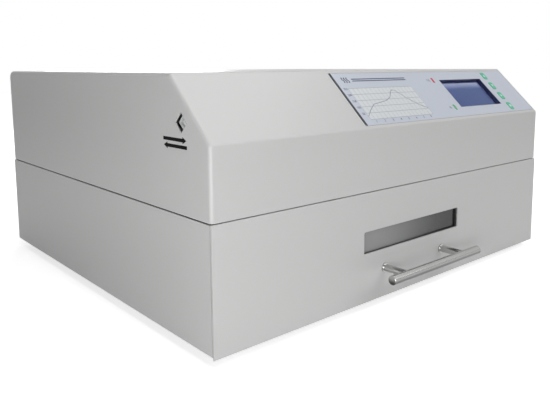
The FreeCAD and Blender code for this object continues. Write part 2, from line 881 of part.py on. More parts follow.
def make_chamber_liner():
    """Inner oven box, open at the front."""
    shell = box(-liner_half, liner_half, chamber_front_y, rear_insulation_y, liner_floor_z, liner_top_z)
    shell = shell.cut(box(-cavity_half, cavity_half, chamber_front_y - 1, chamber_back_y, cavity_floor_z, cavity_top_z))
    tools = [
        rod(duct_bore, (fan_offset, chamber_back_y - 1, fan_z), (fan_offset, rear_insulation_y + 1, fan_z)),
        rod(2 * shaft_radius, (0, stir_y, cavity_top_z - 1), (0, stir_y, liner_top_z + 1)),
    ]
    for x in probe_places():
        tools.append(rod(probe_radius + 0.05, (x, chamber_back_y - 1, probe_z), (x, rear_insulation_y + 1, probe_z)))
    return shell.cut(Part.makeCompound(tools))


def make_chamber_front_frame():
    """Flat frame round the chamber mouth that stands on the floor."""
    plate = box(-insulation_half, insulation_half, frame_front_y, chamber_front_y, floor_z, insulation_top_z)
    return plate.cut(box(-cavity_half, cavity_half, frame_front_y - 1, chamber_front_y + 1, cavity_floor_z,
                         opening_top_z))


def make_floor_insulation():
    """Board under the chamber, with pockets for the foot screws."""
    board = box(-insulation_half, insulation_half, chamber_front_y, rear_insulation_y, floor_z, liner_floor_z)
    pockets = [rod(foot_screw_radius + 2, (x, y, floor_z - 1), (x, y, floor_z + 4)) for x, y in foot_places()]
    return board.cut(Part.makeCompound(pockets))


def make_side_insulation():
    """Boards beside the chamber."""
    return both_sides(box(liner_half, insulation_half, chamber_front_y, rear_insulation_y, liner_floor_z, liner_top_z))


def standoff_places():
    """Places of the posts that carry the motor plate, x and y."""
    reach = motor_plate_side / 2 - standoff_inset
    return [(x, stir_y + y) for x in (-reach, reach) for y in (-reach, reach)]


def make_top_insulation():
    """Board over the chamber, with holes for the fan shaft and its posts."""
    board = box(-insulation_half, insulation_half, chamber_front_y, rear_insulation_y, liner_top_z, insulation_top_z)
    tools = [rod(3 * shaft_radius, (0, stir_y, liner_top_z - 1), (0, stir_y, insulation_top_z + 1))]
    for x, y in standoff_places():
        tools.append(rod(standoff_radius + fit_gap, (x, y, liner_top_z - 1), (x, y, insulation_top_z + 1)))
    return board.cut(Part.makeCompound(tools))


def probe_places():
    """The two temperature probes along X."""
    return [fan_offset - 2 * probe_offset, fan_offset - 3 * probe_offset]


def make_rear_insulation():
    """Board behind the chamber, with holes for the duct and the probes."""
    end = rear_insulation_y + rear_insulation_thickness
    board = box(-insulation_half, insulation_half, rear_insulation_y, end, floor_z, insulation_top_z)
    tools = [rod(duct_bore + duct_wall + fit_gap, (fan_offset, rear_insulation_y - 1, fan_z), (fan_offset, end + 1, fan_z))]
    for x in probe_places():
        tools.append(rod(probe_nut_radius + fit_gap, (x, rear_insulation_y - 1, probe_z), (x, end + 1, probe_z)))
    return board.cut(Part.makeCompound(tools))


def make_chamber_insulation():
    """Separate boards on every side of the chamber but the front."""
    boards = [make_floor_insulation(), make_top_insulation(), make_rear_insulation()]
    return boards + make_side_insulation()


def make_probes():
    """Temperature probes with a hexagon bush behind the chamber wall."""
    probes = []
    for x in probe_places():
        stem = rod(probe_radius, (x, chamber_back_y - probe_length, probe_z), (x, rear_insulation_y + 20, probe_z))
        bush = rod(probe_nut_radius, (x, rear_insulation_y, probe_z), (x, rear_insulation_y + 15, probe_z))
        probes.append(stem.fuse(bush).removeSplitter())
    return probes


def make_reflector():
    """Bright plate over the heaters, hung on the chamber walls, slotted under the fan."""
    front = chamber_front_y + 18
    back = chamber_back_y - 18
    plate = box(-cavity_half, cavity_half, front, back, reflector_z, reflector_z + liner_sheet)
    wing = box(cavity_half - liner_sheet, cavity_half, front, back, reflector_z, reflector_z + reflector_upstand)
    plate = fused([plate] + both_sides(wing))
    slots = []
    for x in spread(-50, 50, 6):
        for y in spread(stir_y - 40, stir_y + 40, 3):
            slots.append(box(x - 3, x + 3, y - 15, y + 15, reflector_z - 1, reflector_z + liner_sheet + 1))
    return plate.cut(Part.makeCompound(slots))


def heater_rows():
    """The heaters along Y."""
    return spread(heater_first_y, heater_last_y, heater_count)


def make_heater_brackets():
    """Angles under the reflector that hold the heater ends."""
    front = heater_first_y - 20
    back = heater_last_y + 20
    web = box(bracket_x, bracket_x + bracket_sheet, front, back, reflector_z - bracket_drop, reflector_z)
    ledge = box(bracket_x, bracket_x + bracket_flange, front, back, reflector_z - bracket_sheet, reflector_z)
    angle = fused([web, ledge])
    hole = heater_radius + heater_play
    for y in heater_rows():
        angle = angle.cut(rod(hole, (bracket_x - 1, y, heater_z), (bracket_x + bracket_sheet + 1, y, heater_z)))
    return both_sides(angle)


def make_heater_tubes():
    """Quartz heater tubes across the chamber."""
    half = bracket_x + bracket_sheet + cap_seat
    return [rod(heater_radius, (-half, y, heater_z), (half, y, heater_z)) for y in heater_rows()]


def make_heater_caps():
    """Ceramic caps on the heater ends, each with its terminal stud."""
    caps = []
    inner = bracket_x + bracket_sheet
    for y in heater_rows():
        cap = rod(cap_radius, (inner, y, heater_z), (inner + cap_length, y, heater_z))
        stud = rod(2.0, (inner + cap_length, y, heater_z), (inner + cap_length + 5, y, heater_z))
        cap = cap.fuse(stud).removeSplitter()
        cap = cap.cut(rod(heater_radius + heater_play / 2, (inner - 1, y, heater_z), (inner + cap_seat, y, heater_z)))
        caps += both_sides(cap)
    return caps


def make_motor_plate():
    """Plate that carries the circulation motor above the insulation."""
    half = motor_plate_side / 2
    plate = rounded_box(-half, half, stir_y - half, stir_y + half, insulation_top_z, motor_z, 6, (0, 0, 1))
    return plate.cut(rod(2 * shaft_radius, (0, stir_y, insulation_top_z - 1), (0, stir_y, motor_z + 1)))


def make_motor_standoffs():
    """Posts from the chamber roof to the motor plate."""
    return [rod(standoff_radius, (x, y, liner_top_z), (x, y, insulation_top_z)) for x, y in standoff_places()]


def make_motor():
    """Circulation motor with the bearing bore for its shaft."""
    can = rod(motor_radius, (0, stir_y, motor_z), (0, stir_y, motor_z + motor_height))
    crest = [edge for edge in can.Edges if edge.CenterOfMass.z > motor_z + motor_height - 0.1]
    can = can.makeFillet(3, crest[:1])
    return can.cut(rod(shaft_radius + shaft_play, (0, stir_y, motor_z - 1), (0, stir_y, shaft_top_z + fit_gap)))


def make_stirrer_shaft():
    """Shaft from the motor down to the circulation fan."""
    return rod(shaft_radius, (0, stir_y, stirrer_z), (0, stir_y, shaft_top_z))


def make_stirrer():
    """Circulation fan: hub, disc and flat blades."""
    top = stirrer_z + stirrer_height
    pieces = [
        rod(hub_radius, (0, stir_y, stirrer_z), (0, stir_y, top)),
        rod(stirrer_radius, (0, stir_y, top - blade_sheet), (0, stir_y, top)),
    ]
    for index in range(stirrer_blades):
        blade = box(hub_radius - 1, stirrer_radius - 2, -blade_sheet / 2, blade_sheet / 2, stirrer_z, top)
        blade.rotate(Vector(0, 0, 0), Vector(0, 0, 1), 360.0 * index / stirrer_blades)
        blade.translate(Vector(0, stir_y, 0))
        pieces.append(blade)
    wheel = fused(pieces)
    return wheel.cut(rod(shaft_radius + 0.02, (0, stir_y, stirrer_z - 1), (0, stir_y, top + 1)))


def fan_screw_places():
    """Places of the exhaust fan's screws, x and z."""
    half = fan_screw_pitch / 2
    return [(fan_offset + x, fan_z + z) for x in (-half, half) for z in (-half, half)]


def make_fan_frame():
    """Square fan housing with struts and a motor seat."""
    half = fan_side / 2
    frame = rounded_box(fan_offset - half, fan_offset + half, fan_front_y, rear_in_y, fan_z - half, fan_z + half, 5,
                        (0, 1, 0))
    frame = frame.cut(rod(fan_bore, (fan_offset, fan_front_y - 1, fan_z), (fan_offset, rear_in_y + 1, fan_z)))
    pieces = [frame, rod(fan_hub, (fan_offset, fan_front_y, fan_z), (fan_offset, fan_motor_y, fan_z))]
    reach = fan_bore + 1
    for angle in (45, 135):
        strut = box(-reach, reach, fan_front_y, fan_front_y + 4, -fan_strut / 2, fan_strut / 2)
        strut.rotate(Vector(0, 0, 0), Vector(0, 1, 0), angle)
        strut.translate(Vector(fan_offset, 0, fan_z))
        pieces.append(strut)
    tools = [rod(2.05, (fan_offset, fan_front_y - 1, fan_z), (fan_offset, fan_motor_y + 1, fan_z))]
    for x, z in fan_screw_places():
        tools.append(rod(small_screw_radius + 0.02, (x, fan_front_y - 1, z), (x, rear_in_y + 1, z)))
    return fused(pieces).cut(Part.makeCompound(tools))


def make_fan_rotor():
    """Hub with pitched blades on a pin that turns in the motor seat."""
    front = fan_motor_y + 0.5
    back = rear_in_y - 2
    pieces = [
        rod(fan_hub, (fan_offset, front, fan_z), (fan_offset, back, fan_z)),
        rod(2.0, (fan_offset, fan_front_y + 1, fan_z), (fan_offset, front + 1, fan_z)),
    ]
    tip = fan_bore - fan_tip_gap
    middle = (front + back) / 2
    ring = rod(tip, (0, front, 0), (0, back, 0))
    for index in range(fan_blades):
        blade = box(fan_hub - 2, tip + 2, -9, 9, -0.8, 0.8)
        blade.rotate(Vector(0, 0, 0), Vector(1, 0, 0), 40)
        blade.translate(Vector(0, middle, 0))
        blade = blade.common(ring)
        blade.rotate(Vector(0, 0, 0), Vector(0, 1, 0), 360.0 * index / fan_blades)
        blade.translate(Vector(fan_offset, 0, fan_z))
        pieces.append(blade)
    return fused(pieces)


def make_finger_guard():
    """Wire guard: rings on two crossed spokes with an eye at each screw."""
    y = rear_out_y + guard_wire
    pieces = []
    for index in range(guard_rings):
        radius = guard_pitch * (index + 1)
        pieces.append(Part.makeTorus(radius, guard_wire, Vector(fan_offset, y + 1.5 * guard_wire, fan_z), Vector(0, 1, 0)))
    half = fan_screw_pitch / 2
    for sign in (-1, 1):
        pieces.append(rod(guard_wire, (fan_offset - half, y, fan_z - sign * half),
                          (fan_offset + half, y, fan_z + sign * half)))
    for x, z in fan_screw_places():
        pieces.append(rod(small_head_radius, (x, rear_out_y, z), (x, rear_out_y + 2 * guard_wire, z)))
    holes = [rod(small_screw_radius + screw_play, (x, rear_out_y - 1, z), (x, back_y + 5, z))
             for x, z in fan_screw_places()]
    return fused(pieces).cut(Part.makeCompound(holes))


def make_fan_screws():
    """Screws through guard and panel into the fan."""
    seat = rear_out_y + 2 * guard_wire
    grip = 2 * guard_wire + rear_sheet + 8
    return [screw((x, seat, z), (0, -1, 0), small_screw_radius, grip, small_head_radius, small_head_height)
            for x, z in fan_screw_places()]


def make_exhaust_duct():
    """Round duct from the chamber's back wall to a square flange on the fan."""
    tube = rod(duct_bore + duct_wall, (fan_offset, rear_insulation_y, fan_z), (fan_offset, fan_front_y, fan_z))
    half = fan_side / 2
    flange = box(fan_offset - half, fan_offset + half, fan_front_y - 1, fan_front_y, fan_z - half, fan_z + half)
    duct = fused([tube, flange])
    tools = [rod(duct_bore, (fan_offset, rear_insulation_y - 1, fan_z), (fan_offset, fan_front_y + 1, fan_z))]
    return duct.cut(Part.makeCompound(tools))


def inlet_screw_places():
    """Places of the two inlet screws, x and z."""
    half = inlet_screw_pitch / 2
    return [(inlet_offset - half, inlet_z), (inlet_offset + half, inlet_z)]


def pin_places():
    """Places of the three inlet blades, x and z."""
    return [(inlet_offset - pin_spread, inlet_z - pin_rise / 2), (inlet_offset + pin_spread, inlet_z - pin_rise / 2),
            (inlet_offset, inlet_z + pin_rise)]


def make_mains_inlet():
    """Panel-mounted mains inlet with an open socket."""
    out = rear_out_y + inlet_flange_thickness
    half = inlet_flange_width / 2
    high = inlet_flange_height / 2
    flange = rounded_box(inlet_offset - half, inlet_offset + half, rear_out_y, out, inlet_z - high, inlet_z + high, 4,
                         (0, 1, 0))
    body = box(inlet_offset - inlet_body_width / 2, inlet_offset + inlet_body_width / 2, rear_out_y - inlet_body_depth,
               rear_out_y, inlet_z - inlet_body_height / 2, inlet_z + inlet_body_height / 2)
    wide = inlet_socket_width / 2
    tall = inlet_socket_height / 2
    bevel = 4.0
    socket = slab([(inlet_offset - wide, out + 1, inlet_z - tall), (inlet_offset + wide, out + 1, inlet_z - tall),
                   (inlet_offset + wide, out + 1, inlet_z + tall - bevel),
                   (inlet_offset + wide - bevel, out + 1, inlet_z + tall),
                   (inlet_offset - wide + bevel, out + 1, inlet_z + tall),
                   (inlet_offset - wide, out + 1, inlet_z + tall - bevel)], (0, -inlet_socket_depth - 1, 0))
    tools = [socket]
    for x, z in pin_places():
        tools.append(box(x - pin_width / 2 - 0.05, x + pin_width / 2 + 0.05, rear_out_y - inlet_body_depth - 1, out,
                         z - pin_height / 2 - 0.05, z + pin_height / 2 + 0.05))
    for x, z in inlet_screw_places():
        tools.append(rod(small_screw_radius + screw_play, (x, rear_out_y - 1, z), (x, out + 1, z)))
    return fused([flange, body]).cut(Part.makeCompound(tools))


def make_inlet_pins():
    """Three flat blades through the inlet's back wall."""
    back = rear_out_y + inlet_flange_thickness - inlet_socket_depth
    pins = []
    for x, z in pin_places():
        pins.append(box(x - pin_width / 2, x + pin_width / 2, rear_out_y - inlet_body_depth - 6, back + pin_length,
                        z - pin_height / 2, z + pin_height / 2))
    return pins


def make_inlet_screws():
    """Screws that hold the inlet to the rear panel."""
    seat = rear_out_y + inlet_flange_thickness
    grip = inlet_flange_thickness + rear_sheet + 3
    return [screw((x, seat, z), (0, -1, 0), small_screw_radius, grip, small_head_radius * 0.85, small_head_height * 0.8)
            for x, z in inlet_screw_places()]


def make_switch_housing():
    """Snap-in switch body with the well that the rocker swings in."""
    wide = switch_bezel_width / 2
    high = switch_bezel_height / 2
    bezel = rounded_box(inlet_offset - wide, inlet_offset + wide, rear_out_y, rear_out_y + switch_bezel_thickness,
                        switch_z - high, switch_z + high, 2, (0, 1, 0))
    body = box(inlet_offset - switch_body_width / 2, inlet_offset + switch_body_width / 2,
               rear_out_y - switch_body_depth, rear_out_y, switch_z - switch_body_height / 2,
               switch_z + switch_body_height / 2)
    room = rocker_width / 2 + rocker_play
    tools = [
        box(inlet_offset - room, inlet_offset + room, rear_out_y - 7, rear_out_y + switch_bezel_thickness + 1,
            switch_z - rocker_room, switch_z + rocker_room),
        rod(rocker_pin_radius + shaft_play, (inlet_offset - room - 1, rocker_y, switch_z),
            (inlet_offset + room + 1, rocker_y, switch_z)),
    ]
    return fused([bezel, body]).cut(Part.makeCompound(tools))


def make_rocker():
    """Rocker with a dished face and two pivot stubs, resting in its off position."""
    half = rocker_width / 2
    long = rocker_half_length
    outline = [(-half, 3.6, -long), (-half, 2.2, 0), (-half, 3.6, long), (-half, -1.0, long), (-half, -4.0, 3),
               (-half, -4.0, -3), (-half, -1.0, -long)]
    key = slab(outline, (rocker_width, 0, 0))
    stub = half + rocker_play + 0.8
    key = fused([key, rod(rocker_pin_radius, (-stub, 0, 0), (stub, 0, 0))])
    key.rotate(Vector(0, 0, 0), Vector(1, 0, 0), -rocker_swing)
    key.translate(Vector(inlet_offset, rocker_y, switch_z))
    return key


def make_fuse_holder():
    """Round fuse holder with its flange outside the panel."""
    body = rod(fuse_radius, (fuse_offset, rear_out_y - fuse_depth, inlet_z), (fuse_offset, rear_out_y, inlet_z))
    flange = rod(fuse_flange_radius, (fuse_offset, rear_out_y, inlet_z),
                 (fuse_offset, rear_out_y + fuse_flange_height, inlet_z))
    return fused([body, flange])


def make_fuse_cap():
    """Slotted cap of the fuse holder."""
    start = rear_out_y + fuse_flange_height
    end = start + fuse_cap_height
    cap = rod(fuse_cap_radius, (fuse_offset, start, inlet_z), (fuse_offset, end, inlet_z))
    rim = [edge for edge in cap.Edges if edge.CenterOfMass.y > end - 0.1]
    cap = cap.makeChamfer(0.8, rim[:1])
    return cap.cut(box(fuse_offset - 5, fuse_offset + 5, end - 1.5, end + 1, inlet_z - 0.8, inlet_z + 0.8))


def power_hole_places():
    """Places of the power board's standoffs, x and z."""
    wide = power_board_width / 2 - board_hole_inset
    high = power_board_height / 2 - board_hole_inset
    return [(power_board_offset + x, power_board_z + z) for x in (-wide, wide) for z in (-high, high)]


def make_power_board():
    """Power circuit board behind the rear panel."""
    return box(power_board_offset - power_board_width / 2, power_board_offset + power_board_width / 2, power_face_y,
               power_back_y, power_board_z - power_board_height / 2, power_board_z + power_board_height / 2)


def make_board_standoffs():
    """Posts between the rear panel and the power board."""
    return [rod(board_standoff_radius, (x, power_back_y, z), (x, rear_in_y, z)) for x, z in power_hole_places()]


def make_transformer():
    """Small mains transformer: laminated core with the winding's bobbin."""
    high = transformer_height / 2
    core = box(transformer_x - transformer_width / 2, transformer_x + transformer_width / 2,
               power_face_y - transformer_depth * 0.75, power_face_y - transformer_depth * 0.25, power_board_z - high,
               power_board_z + high)
    coil = rounded_box(transformer_x - transformer_width * 0.3, transformer_x + transformer_width * 0.3,
                       power_face_y - transformer_depth, power_face_y, power_board_z - high * 0.6,
                       power_board_z + high * 0.6, 3, (0, 1, 0))
    return fused([core, coil])


def make_heat_sink():
    """Finned heat sink on the power board."""
    base = box(sink_x - sink_width / 2, sink_x + sink_width / 2, power_face_y - sink_depth, power_face_y,
               power_board_z, power_board_z + sink_base)
    pieces = [base]
    for x in spread(sink_x - sink_width / 2 + sink_fin / 2, sink_x + sink_width / 2 - sink_fin / 2, sink_fins):
        pieces.append(box(x - sink_fin / 2, x + sink_fin / 2, power_face_y - sink_depth, power_face_y, power_board_z,
                          power_board_z + sink_height * 0.8))
    return fused(pieces)


def make_triacs():
    """Two power switches on the underside of the heat sink."""
    packs = []
    for x in (sink_x - sink_width / 4, sink_x + sink_width / 4):
        packs.append(box(x - triac_width / 2, x + triac_width / 2, power_face_y - triac_height, power_face_y,
                         power_board_z - triac_depth, power_board_z))
    return packs


def make_terminal_block():
    """Screw terminals along the board's lower edge."""
    low = power_board_z - power_board_height / 2 + 3
    block = box(sink_x - terminal_width / 2, sink_x + terminal_width / 2, power_face_y - terminal_depth, power_face_y,
                low, low + terminal_height)
    holes = []
    for x in spread(sink_x - terminal_width / 2 + 5, sink_x + terminal_width / 2 - 5, 4):
        holes.append(rod(2.2, (x, power_face_y - terminal_depth - 1, low + terminal_height / 2),
                         (x, power_face_y - terminal_depth + 5, low + terminal_height / 2)))
    return block.cut(Part.makeCompound(holes))


def key_rows():
    """The four keys up the slope, from the lowest."""
    first = panel_low + key_margin + key_length / 2
    return [first + key_pitch * index for index in range(4)]


def key_bar(t, grow, n0, n1):
    """Key-shaped bar in x, t, n."""
    wide = key_width / 2 + grow
    tall = key_length / 2 + grow
    return rounded_box(key_x - wide, key_x + wide, t - tall, t + tall, n0, n1, key_corner + grow, (0, 0, 1))


def lamp_rows():
    """The two lamps up the slope: cooling, then heating."""
    return [panel_middle - lamp_rise, panel_middle + lamp_rise]


def lamp_bar(t, grow, n0, n1):
    """Lamp-shaped bar in x, t, n."""
    wide = lamp_width / 2 + grow
    tall = lamp_length / 2 + grow
    return rounded_box(lamp_x - wide, lamp_x + wide, t - tall, t + tall, n0, n1, wide * 0.8, (0, 0, 1))


def panel_holes(n0, n1):
    """Bars for the display, key and lamp openings in the control face."""
    wide = display_width / 2
    tall = display_height / 2
    bars = [box(display_x - wide, display_x + wide, panel_middle - tall, panel_middle + tall, n0, n1)]
    bars += [key_bar(t, key_play, n0, n1) for t in key_rows()]
    bars += [lamp_bar(t, lamp_play, n0, n1) for t in lamp_rows()]
    return Part.makeCompound(bars)


def make_control_plate():
    """Inset plate of the control face: a raised land on a flange that sits behind the hood's sheet."""
    flange = box(flange_left, flange_right, flange_low, flange_high, plate_n, gasket_n)
    land = box(panel_left, panel_right, panel_low, panel_high, gasket_n, -overlay_sheet)
    return on_slope(fused([flange, land]).cut(panel_holes(plate_n - 1, 1)))


def make_panel_gasket():
    """Black foam ring between the flange and the hood; it shows in the gap left of the panel."""
    ring = box(flange_left, flange_right, flange_low, flange_high, gasket_n, -sheet)
    land = box(panel_left - 0.1, panel_right + 0.1, panel_low - 0.1, panel_high + 0.1, gasket_n - 1, 0)
    return on_slope(ring.cut(land))


def make_panel_overlay():
    """Printed film on the land."""
    film = box(panel_left, panel_right, panel_low, panel_high, -overlay_sheet, 0)
    return on_slope(film.cut(panel_holes(-1, 1)))


def make_display_lens():
    """Clear cover behind the display opening."""
    wide = display_width / 2 + display_lap
    tall = display_height / 2 + display_lap
    return on_slope(box(display_x - wide, display_x + wide, panel_middle - tall, panel_middle + tall, lens_n, plate_n))


def make_display_module():
    """Display module: metal frame round the glass, on its carrier board."""
    wide = display_width / 2 + display_border
    tall = display_height / 2 + display_border
    frame = box(display_x - wide, display_x + wide, panel_middle - tall, panel_middle + tall, module_n, lens_n)
    view = box(display_x - display_width / 2 + 1, display_x + display_width / 2 - 1, panel_middle - display_height / 2 + 1,
               panel_middle + display_height / 2 - 1, lens_n - 0.6, lens_n + 1)
    header = box(display_x - 24, display_x + 24, panel_middle + tall - 6, panel_middle + tall - 2, controller_n, module_n)
    return on_slope(fused([frame.cut(view), header]))


def make_controller_board():
    """Controller circuit board behind the control face."""
    half = controller_height / 2
    board = box(controller_left, controller_right, panel_middle - half, panel_middle + half,
                controller_n - board_thickness, controller_n)
    chip = box(display_x - 9, display_x + 9, panel_middle - 9, panel_middle + 9, controller_n - board_thickness - 2,
               controller_n - board_thickness)
    return on_slope(fused([board, chip]))


def make_controller_spacers():
    """Posts between the control plate and the controller board."""
    half = controller_height / 2 - spacer_inset
    posts = []
    for x in (controller_left + spacer_inset, controller_right - spacer_inset):
        for t in (panel_middle - half, panel_middle + half):
            posts.append(on_slope(rod(spacer_radius, (x, t, controller_n), (x, t, plate_n))))
    return posts


def make_key(t):
    """One push key: cap, retaining flange and stem."""
    cap = key_bar(t, 0, key_flange_top, key_proud)
    crest = [edge for edge in cap.Edges if all(abs(v.Z - key_proud) < 1e-6 for v in edge.Vertexes)]
    cap = cap.makeFillet(0.4, crest)
    flange = key_bar(t, key_flange, key_flange_top - key_flange_sheet, key_flange_top)
    stem = rod(2.0, (key_x, t, key_stem_end), (key_x, t, key_flange_top))
    return on_slope(fused([cap, flange, stem]))


def make_key_switches():
    """Push switches on the controller board under the keys."""
    switches = []
    half = key_switch_side / 2
    for t in key_rows():
        body = box(key_x - half, key_x + half, t - half, t + half, controller_n, controller_n + key_switch_body)
        button = rod(key_switch_button, (key_x, t, controller_n), (key_x, t, switch_top_n))
        switches.append(on_slope(fused([body, button])))
    return switches


def make_lamp(t):
    """Indicator lamp: lens through the panel, flange and legs to the board."""
    lens = lamp_bar(t, 0, plate_n, 0.2)
    flange = lamp_bar(t, lamp_flange, plate_n - 1.2, plate_n)
    legs = [rod(0.5, (lamp_x, t + shift, controller_n), (lamp_x, t + shift, plate_n)) for shift in (-1.3, 1.3)]
    return on_slope(fused([lens, flange] + legs))


def make_data_socket():
    """Square data socket set on its corner, with a tongue in its bore."""
    shell = port_prism(port_shell, port_face_x, port_board_x)
    bore = box(port_face_x - 1, port_face_x + port_bore_depth, -port_bore_width / 2, port_bore_width / 2,
               -port_bore_height / 2, port_bore_height / 2)
    tongue = box(port_face_x + 0.8, port_face_x + port_bore_depth, -port_tongue_width / 2, port_tongue_width / 2,
                 -port_tongue_height / 2, port_tongue_height / 2)
    cut = bore.cut(tongue)
    cut.rotate(Vector(0, 0, 0), Vector(1, 0, 0), 45)
    cut.translate(Vector(0, port_y, port_z))
    return shell.cut(cut)


def make_socket_board():
    """Small board that carries the data socket on two posts from the side wall."""
    half = port_board_half
    board = box(port_board_x, port_board_x + board_thickness, port_y - half, port_y + half, port_z - port_board_fall,
                port_z + port_board_rise)
    post_z = port_z - port_spacer_fall
    posts = [rod(port_spacer_radius, (-half_width + sheet, y, post_z), (port_board_x, y, post_z))
             for y in (port_y - port_spacer_reach, port_y + port_spacer_reach)]
    return fused([board] + posts)


def write_node(name, shape):
    """Writes one node's solid, or group of solids, as a STEP file."""
    if isinstance(shape, list):
        shape = Part.makeCompound(shape)
    shape.exportStep(os.path.join("parts", name + ".step"))


def main():
    """Builds every piece and writes it under its own name."""
    os.makedirs("parts", exist_ok=True)
    nodes = {
        "base_pan": make_base_pan(),
        "upper_cover": make_upper_cover(),
        "rear_panel": make_rear_panel(),
        "seam_gaskets": make_seam_gaskets(),
        "seam_screws": make_seam_screws() + make_seam_nuts(),
        "rear_screws": make_rear_screws() + make_fan_screws() + make_inlet_screws(),
        "rubber_feet": make_rubber_feet(),
        "foot_screws": make_foot_screws(),
        "drawer_front": make_drawer_front(),
        "drawer_insulation": make_drawer_insulation(),
        "drawer_inner_plate": make_drawer_inner_plate(),
        "door_seal": make_door_seal(),
        "window_sleeve": make_window_sleeve(),
        "window_glass": make_window_glass(),
        "handle_bar": make_handle_bar(),
        "handle_posts": make_handle_posts(),
        "handle_screws": make_handle_screws(),
        "drawer_frame": make_drawer_sides() + [make_drawer_rear_rail()],
        "work_tray": make_work_tray(),
        "outer_rails": make_outer_rails(),
        "inner_rails": make_inner_rails(),
        "ball_cages": make_ball_cages(),
        "chamber_liner": make_chamber_liner(),
        "chamber_front_frame": make_chamber_front_frame(),
        "chamber_insulation": make_chamber_insulation(),
        "temperature_probes": make_probes(),
        "reflector": make_reflector(),
        "heater_brackets": make_heater_brackets(),
        "heater_tubes": make_heater_tubes(),
        "heater_caps": make_heater_caps(),
        "motor_plate": [make_motor_plate()] + make_motor_standoffs(),
        "stirrer_motor": make_motor(),
        "stirrer_wheel": [make_stirrer_shaft(), make_stirrer()],
        "fan_frame": make_fan_frame(),
        "fan_rotor": make_fan_rotor(),
        "finger_guard": make_finger_guard(),
        "exhaust_duct": make_exhaust_duct(),
        "mains_inlet": make_mains_inlet(),
        "inlet_pins": make_inlet_pins(),
        "switch_housing": make_switch_housing(),
        "switch_rocker": make_rocker(),
        "fuse_holder": [make_fuse_holder(), make_fuse_cap()],
        "power_board": [make_power_board()] + make_board_standoffs() + [make_terminal_block()],
        "transformer": make_transformer(),
        "heat_sink": [make_heat_sink()] + make_triacs(),
        "control_plate": make_control_plate(),
        "panel_gasket": make_panel_gasket(),
        "panel_overlay": make_panel_overlay(),
        "display_lens": make_display_lens(),
        "display_module": make_display_module(),
        "controller_board": [make_controller_board()] + make_controller_spacers() + make_key_switches(),
        "cooling_lamp": make_lamp(lamp_rows()[0]),
        "heating_lamp": make_lamp(lamp_rows()[1]),
        "data_socket": make_data_socket(),
        "socket_board": make_socket_board(),
    }
    for index, t in enumerate(key_rows()):
        nodes["key_{}".format(4 - index)] = make_key(t)
    for name, shape in nodes.items():
        write_node(name, shape)


main()
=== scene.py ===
"""Looks of a bench-top reflow oven with a pull-out drawer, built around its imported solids.

Metres, +X right, +Y back, +Z up. The control face has its own plane: u runs right from the printed
film's left edge, v runs up the slope from its lower edge, and w stands out of it.
"""

import json
import logging
import math
from dataclasses import dataclass, field
from enum import Enum
from typing import Dict, List, Sequence, Tuple

import bpy
from mathutils import Matrix, Vector

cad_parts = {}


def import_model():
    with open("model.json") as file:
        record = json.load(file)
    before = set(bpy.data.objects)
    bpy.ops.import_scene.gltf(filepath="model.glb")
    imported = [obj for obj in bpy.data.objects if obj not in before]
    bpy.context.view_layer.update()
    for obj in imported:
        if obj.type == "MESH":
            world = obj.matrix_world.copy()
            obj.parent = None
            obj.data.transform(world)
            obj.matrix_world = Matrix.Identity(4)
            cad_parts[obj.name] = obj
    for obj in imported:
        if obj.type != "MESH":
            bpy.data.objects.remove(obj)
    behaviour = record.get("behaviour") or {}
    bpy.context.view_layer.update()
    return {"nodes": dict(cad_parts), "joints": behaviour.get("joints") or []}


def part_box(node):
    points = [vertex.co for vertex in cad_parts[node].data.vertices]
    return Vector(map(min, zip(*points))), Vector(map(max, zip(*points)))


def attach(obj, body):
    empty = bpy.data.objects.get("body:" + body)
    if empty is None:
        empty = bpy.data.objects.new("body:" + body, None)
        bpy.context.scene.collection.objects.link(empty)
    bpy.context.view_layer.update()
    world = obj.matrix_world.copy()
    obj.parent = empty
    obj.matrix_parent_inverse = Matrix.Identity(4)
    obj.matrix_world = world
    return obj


LOG = logging.getLogger("reflow_oven")
MM = 0.001

Colour = Tuple[float, float, float]
Point2 = Tuple[float, float]


class BrushDirection(Enum):
    """Which way a metal's brush lines run; the value stretches the noise across them."""

    ALONG_X = (0.02, 1.0, 1.0)
    ALONG_Y = (1.0, 0.02, 1.0)
    ALONG_Z = (1.0, 1.0, 0.02)


class KeySign(Enum):
    """Sign on a push key, as the corners of its outline in shares of the sign's size."""

    UP = ((-0.5, -0.4), (0.5, -0.4), (0.0, 0.5))
    DOWN = ((-0.5, 0.4), (0.0, -0.5), (0.5, 0.4))
    RUN = ((-0.4, -0.5), (0.5, 0.0), (-0.4, 0.5))
    STOP = ((-0.42, -0.42), (0.42, -0.42), (0.42, 0.42), (-0.42, 0.42))


class Body(Enum):
    """The moving bodies that new pieces ride on."""

    CASING = "casing"
    DRAWER = "drawer"
    ROCKER = "rocker"
    KEY = "key_{}"


class NodeWriter:
    """Small helper that adds and links nodes in one tree."""

    def __init__(self, tree: bpy.types.NodeTree) -> None:
        """Keeps the tree to write in."""
        self.tree = tree

    def add(self, kind: str, **values: object) -> bpy.types.Node:
        """Adds a node.

        Args:
            kind: the node's class name.
            values: properties of the node to set.

        Returns:
            The new node.
        """
        node = self.tree.nodes.new(kind)
        for key, value in values.items():
            setattr(node, key, value)
        return node

    def link(self, source: bpy.types.NodeSocket, target: bpy.types.NodeSocket) -> None:
        """Links two sockets."""
        self.tree.links.new(source, target)

    def math(self, operation: str, first: object, second: object) -> bpy.types.NodeSocket:
        """Adds a Math node.

        Args:
            operation: the sum to do.
            first: socket or number.
            second: socket or number.

        Returns:
            The node's output socket.
        """
        node = self.add("ShaderNodeMath", operation=operation)
        for index, value in enumerate((first, second)):
            if isinstance(value, bpy.types.NodeSocket):
                self.link(value, node.inputs[index])
            else:
                node.inputs[index].default_value = value
        return node.outputs[0]


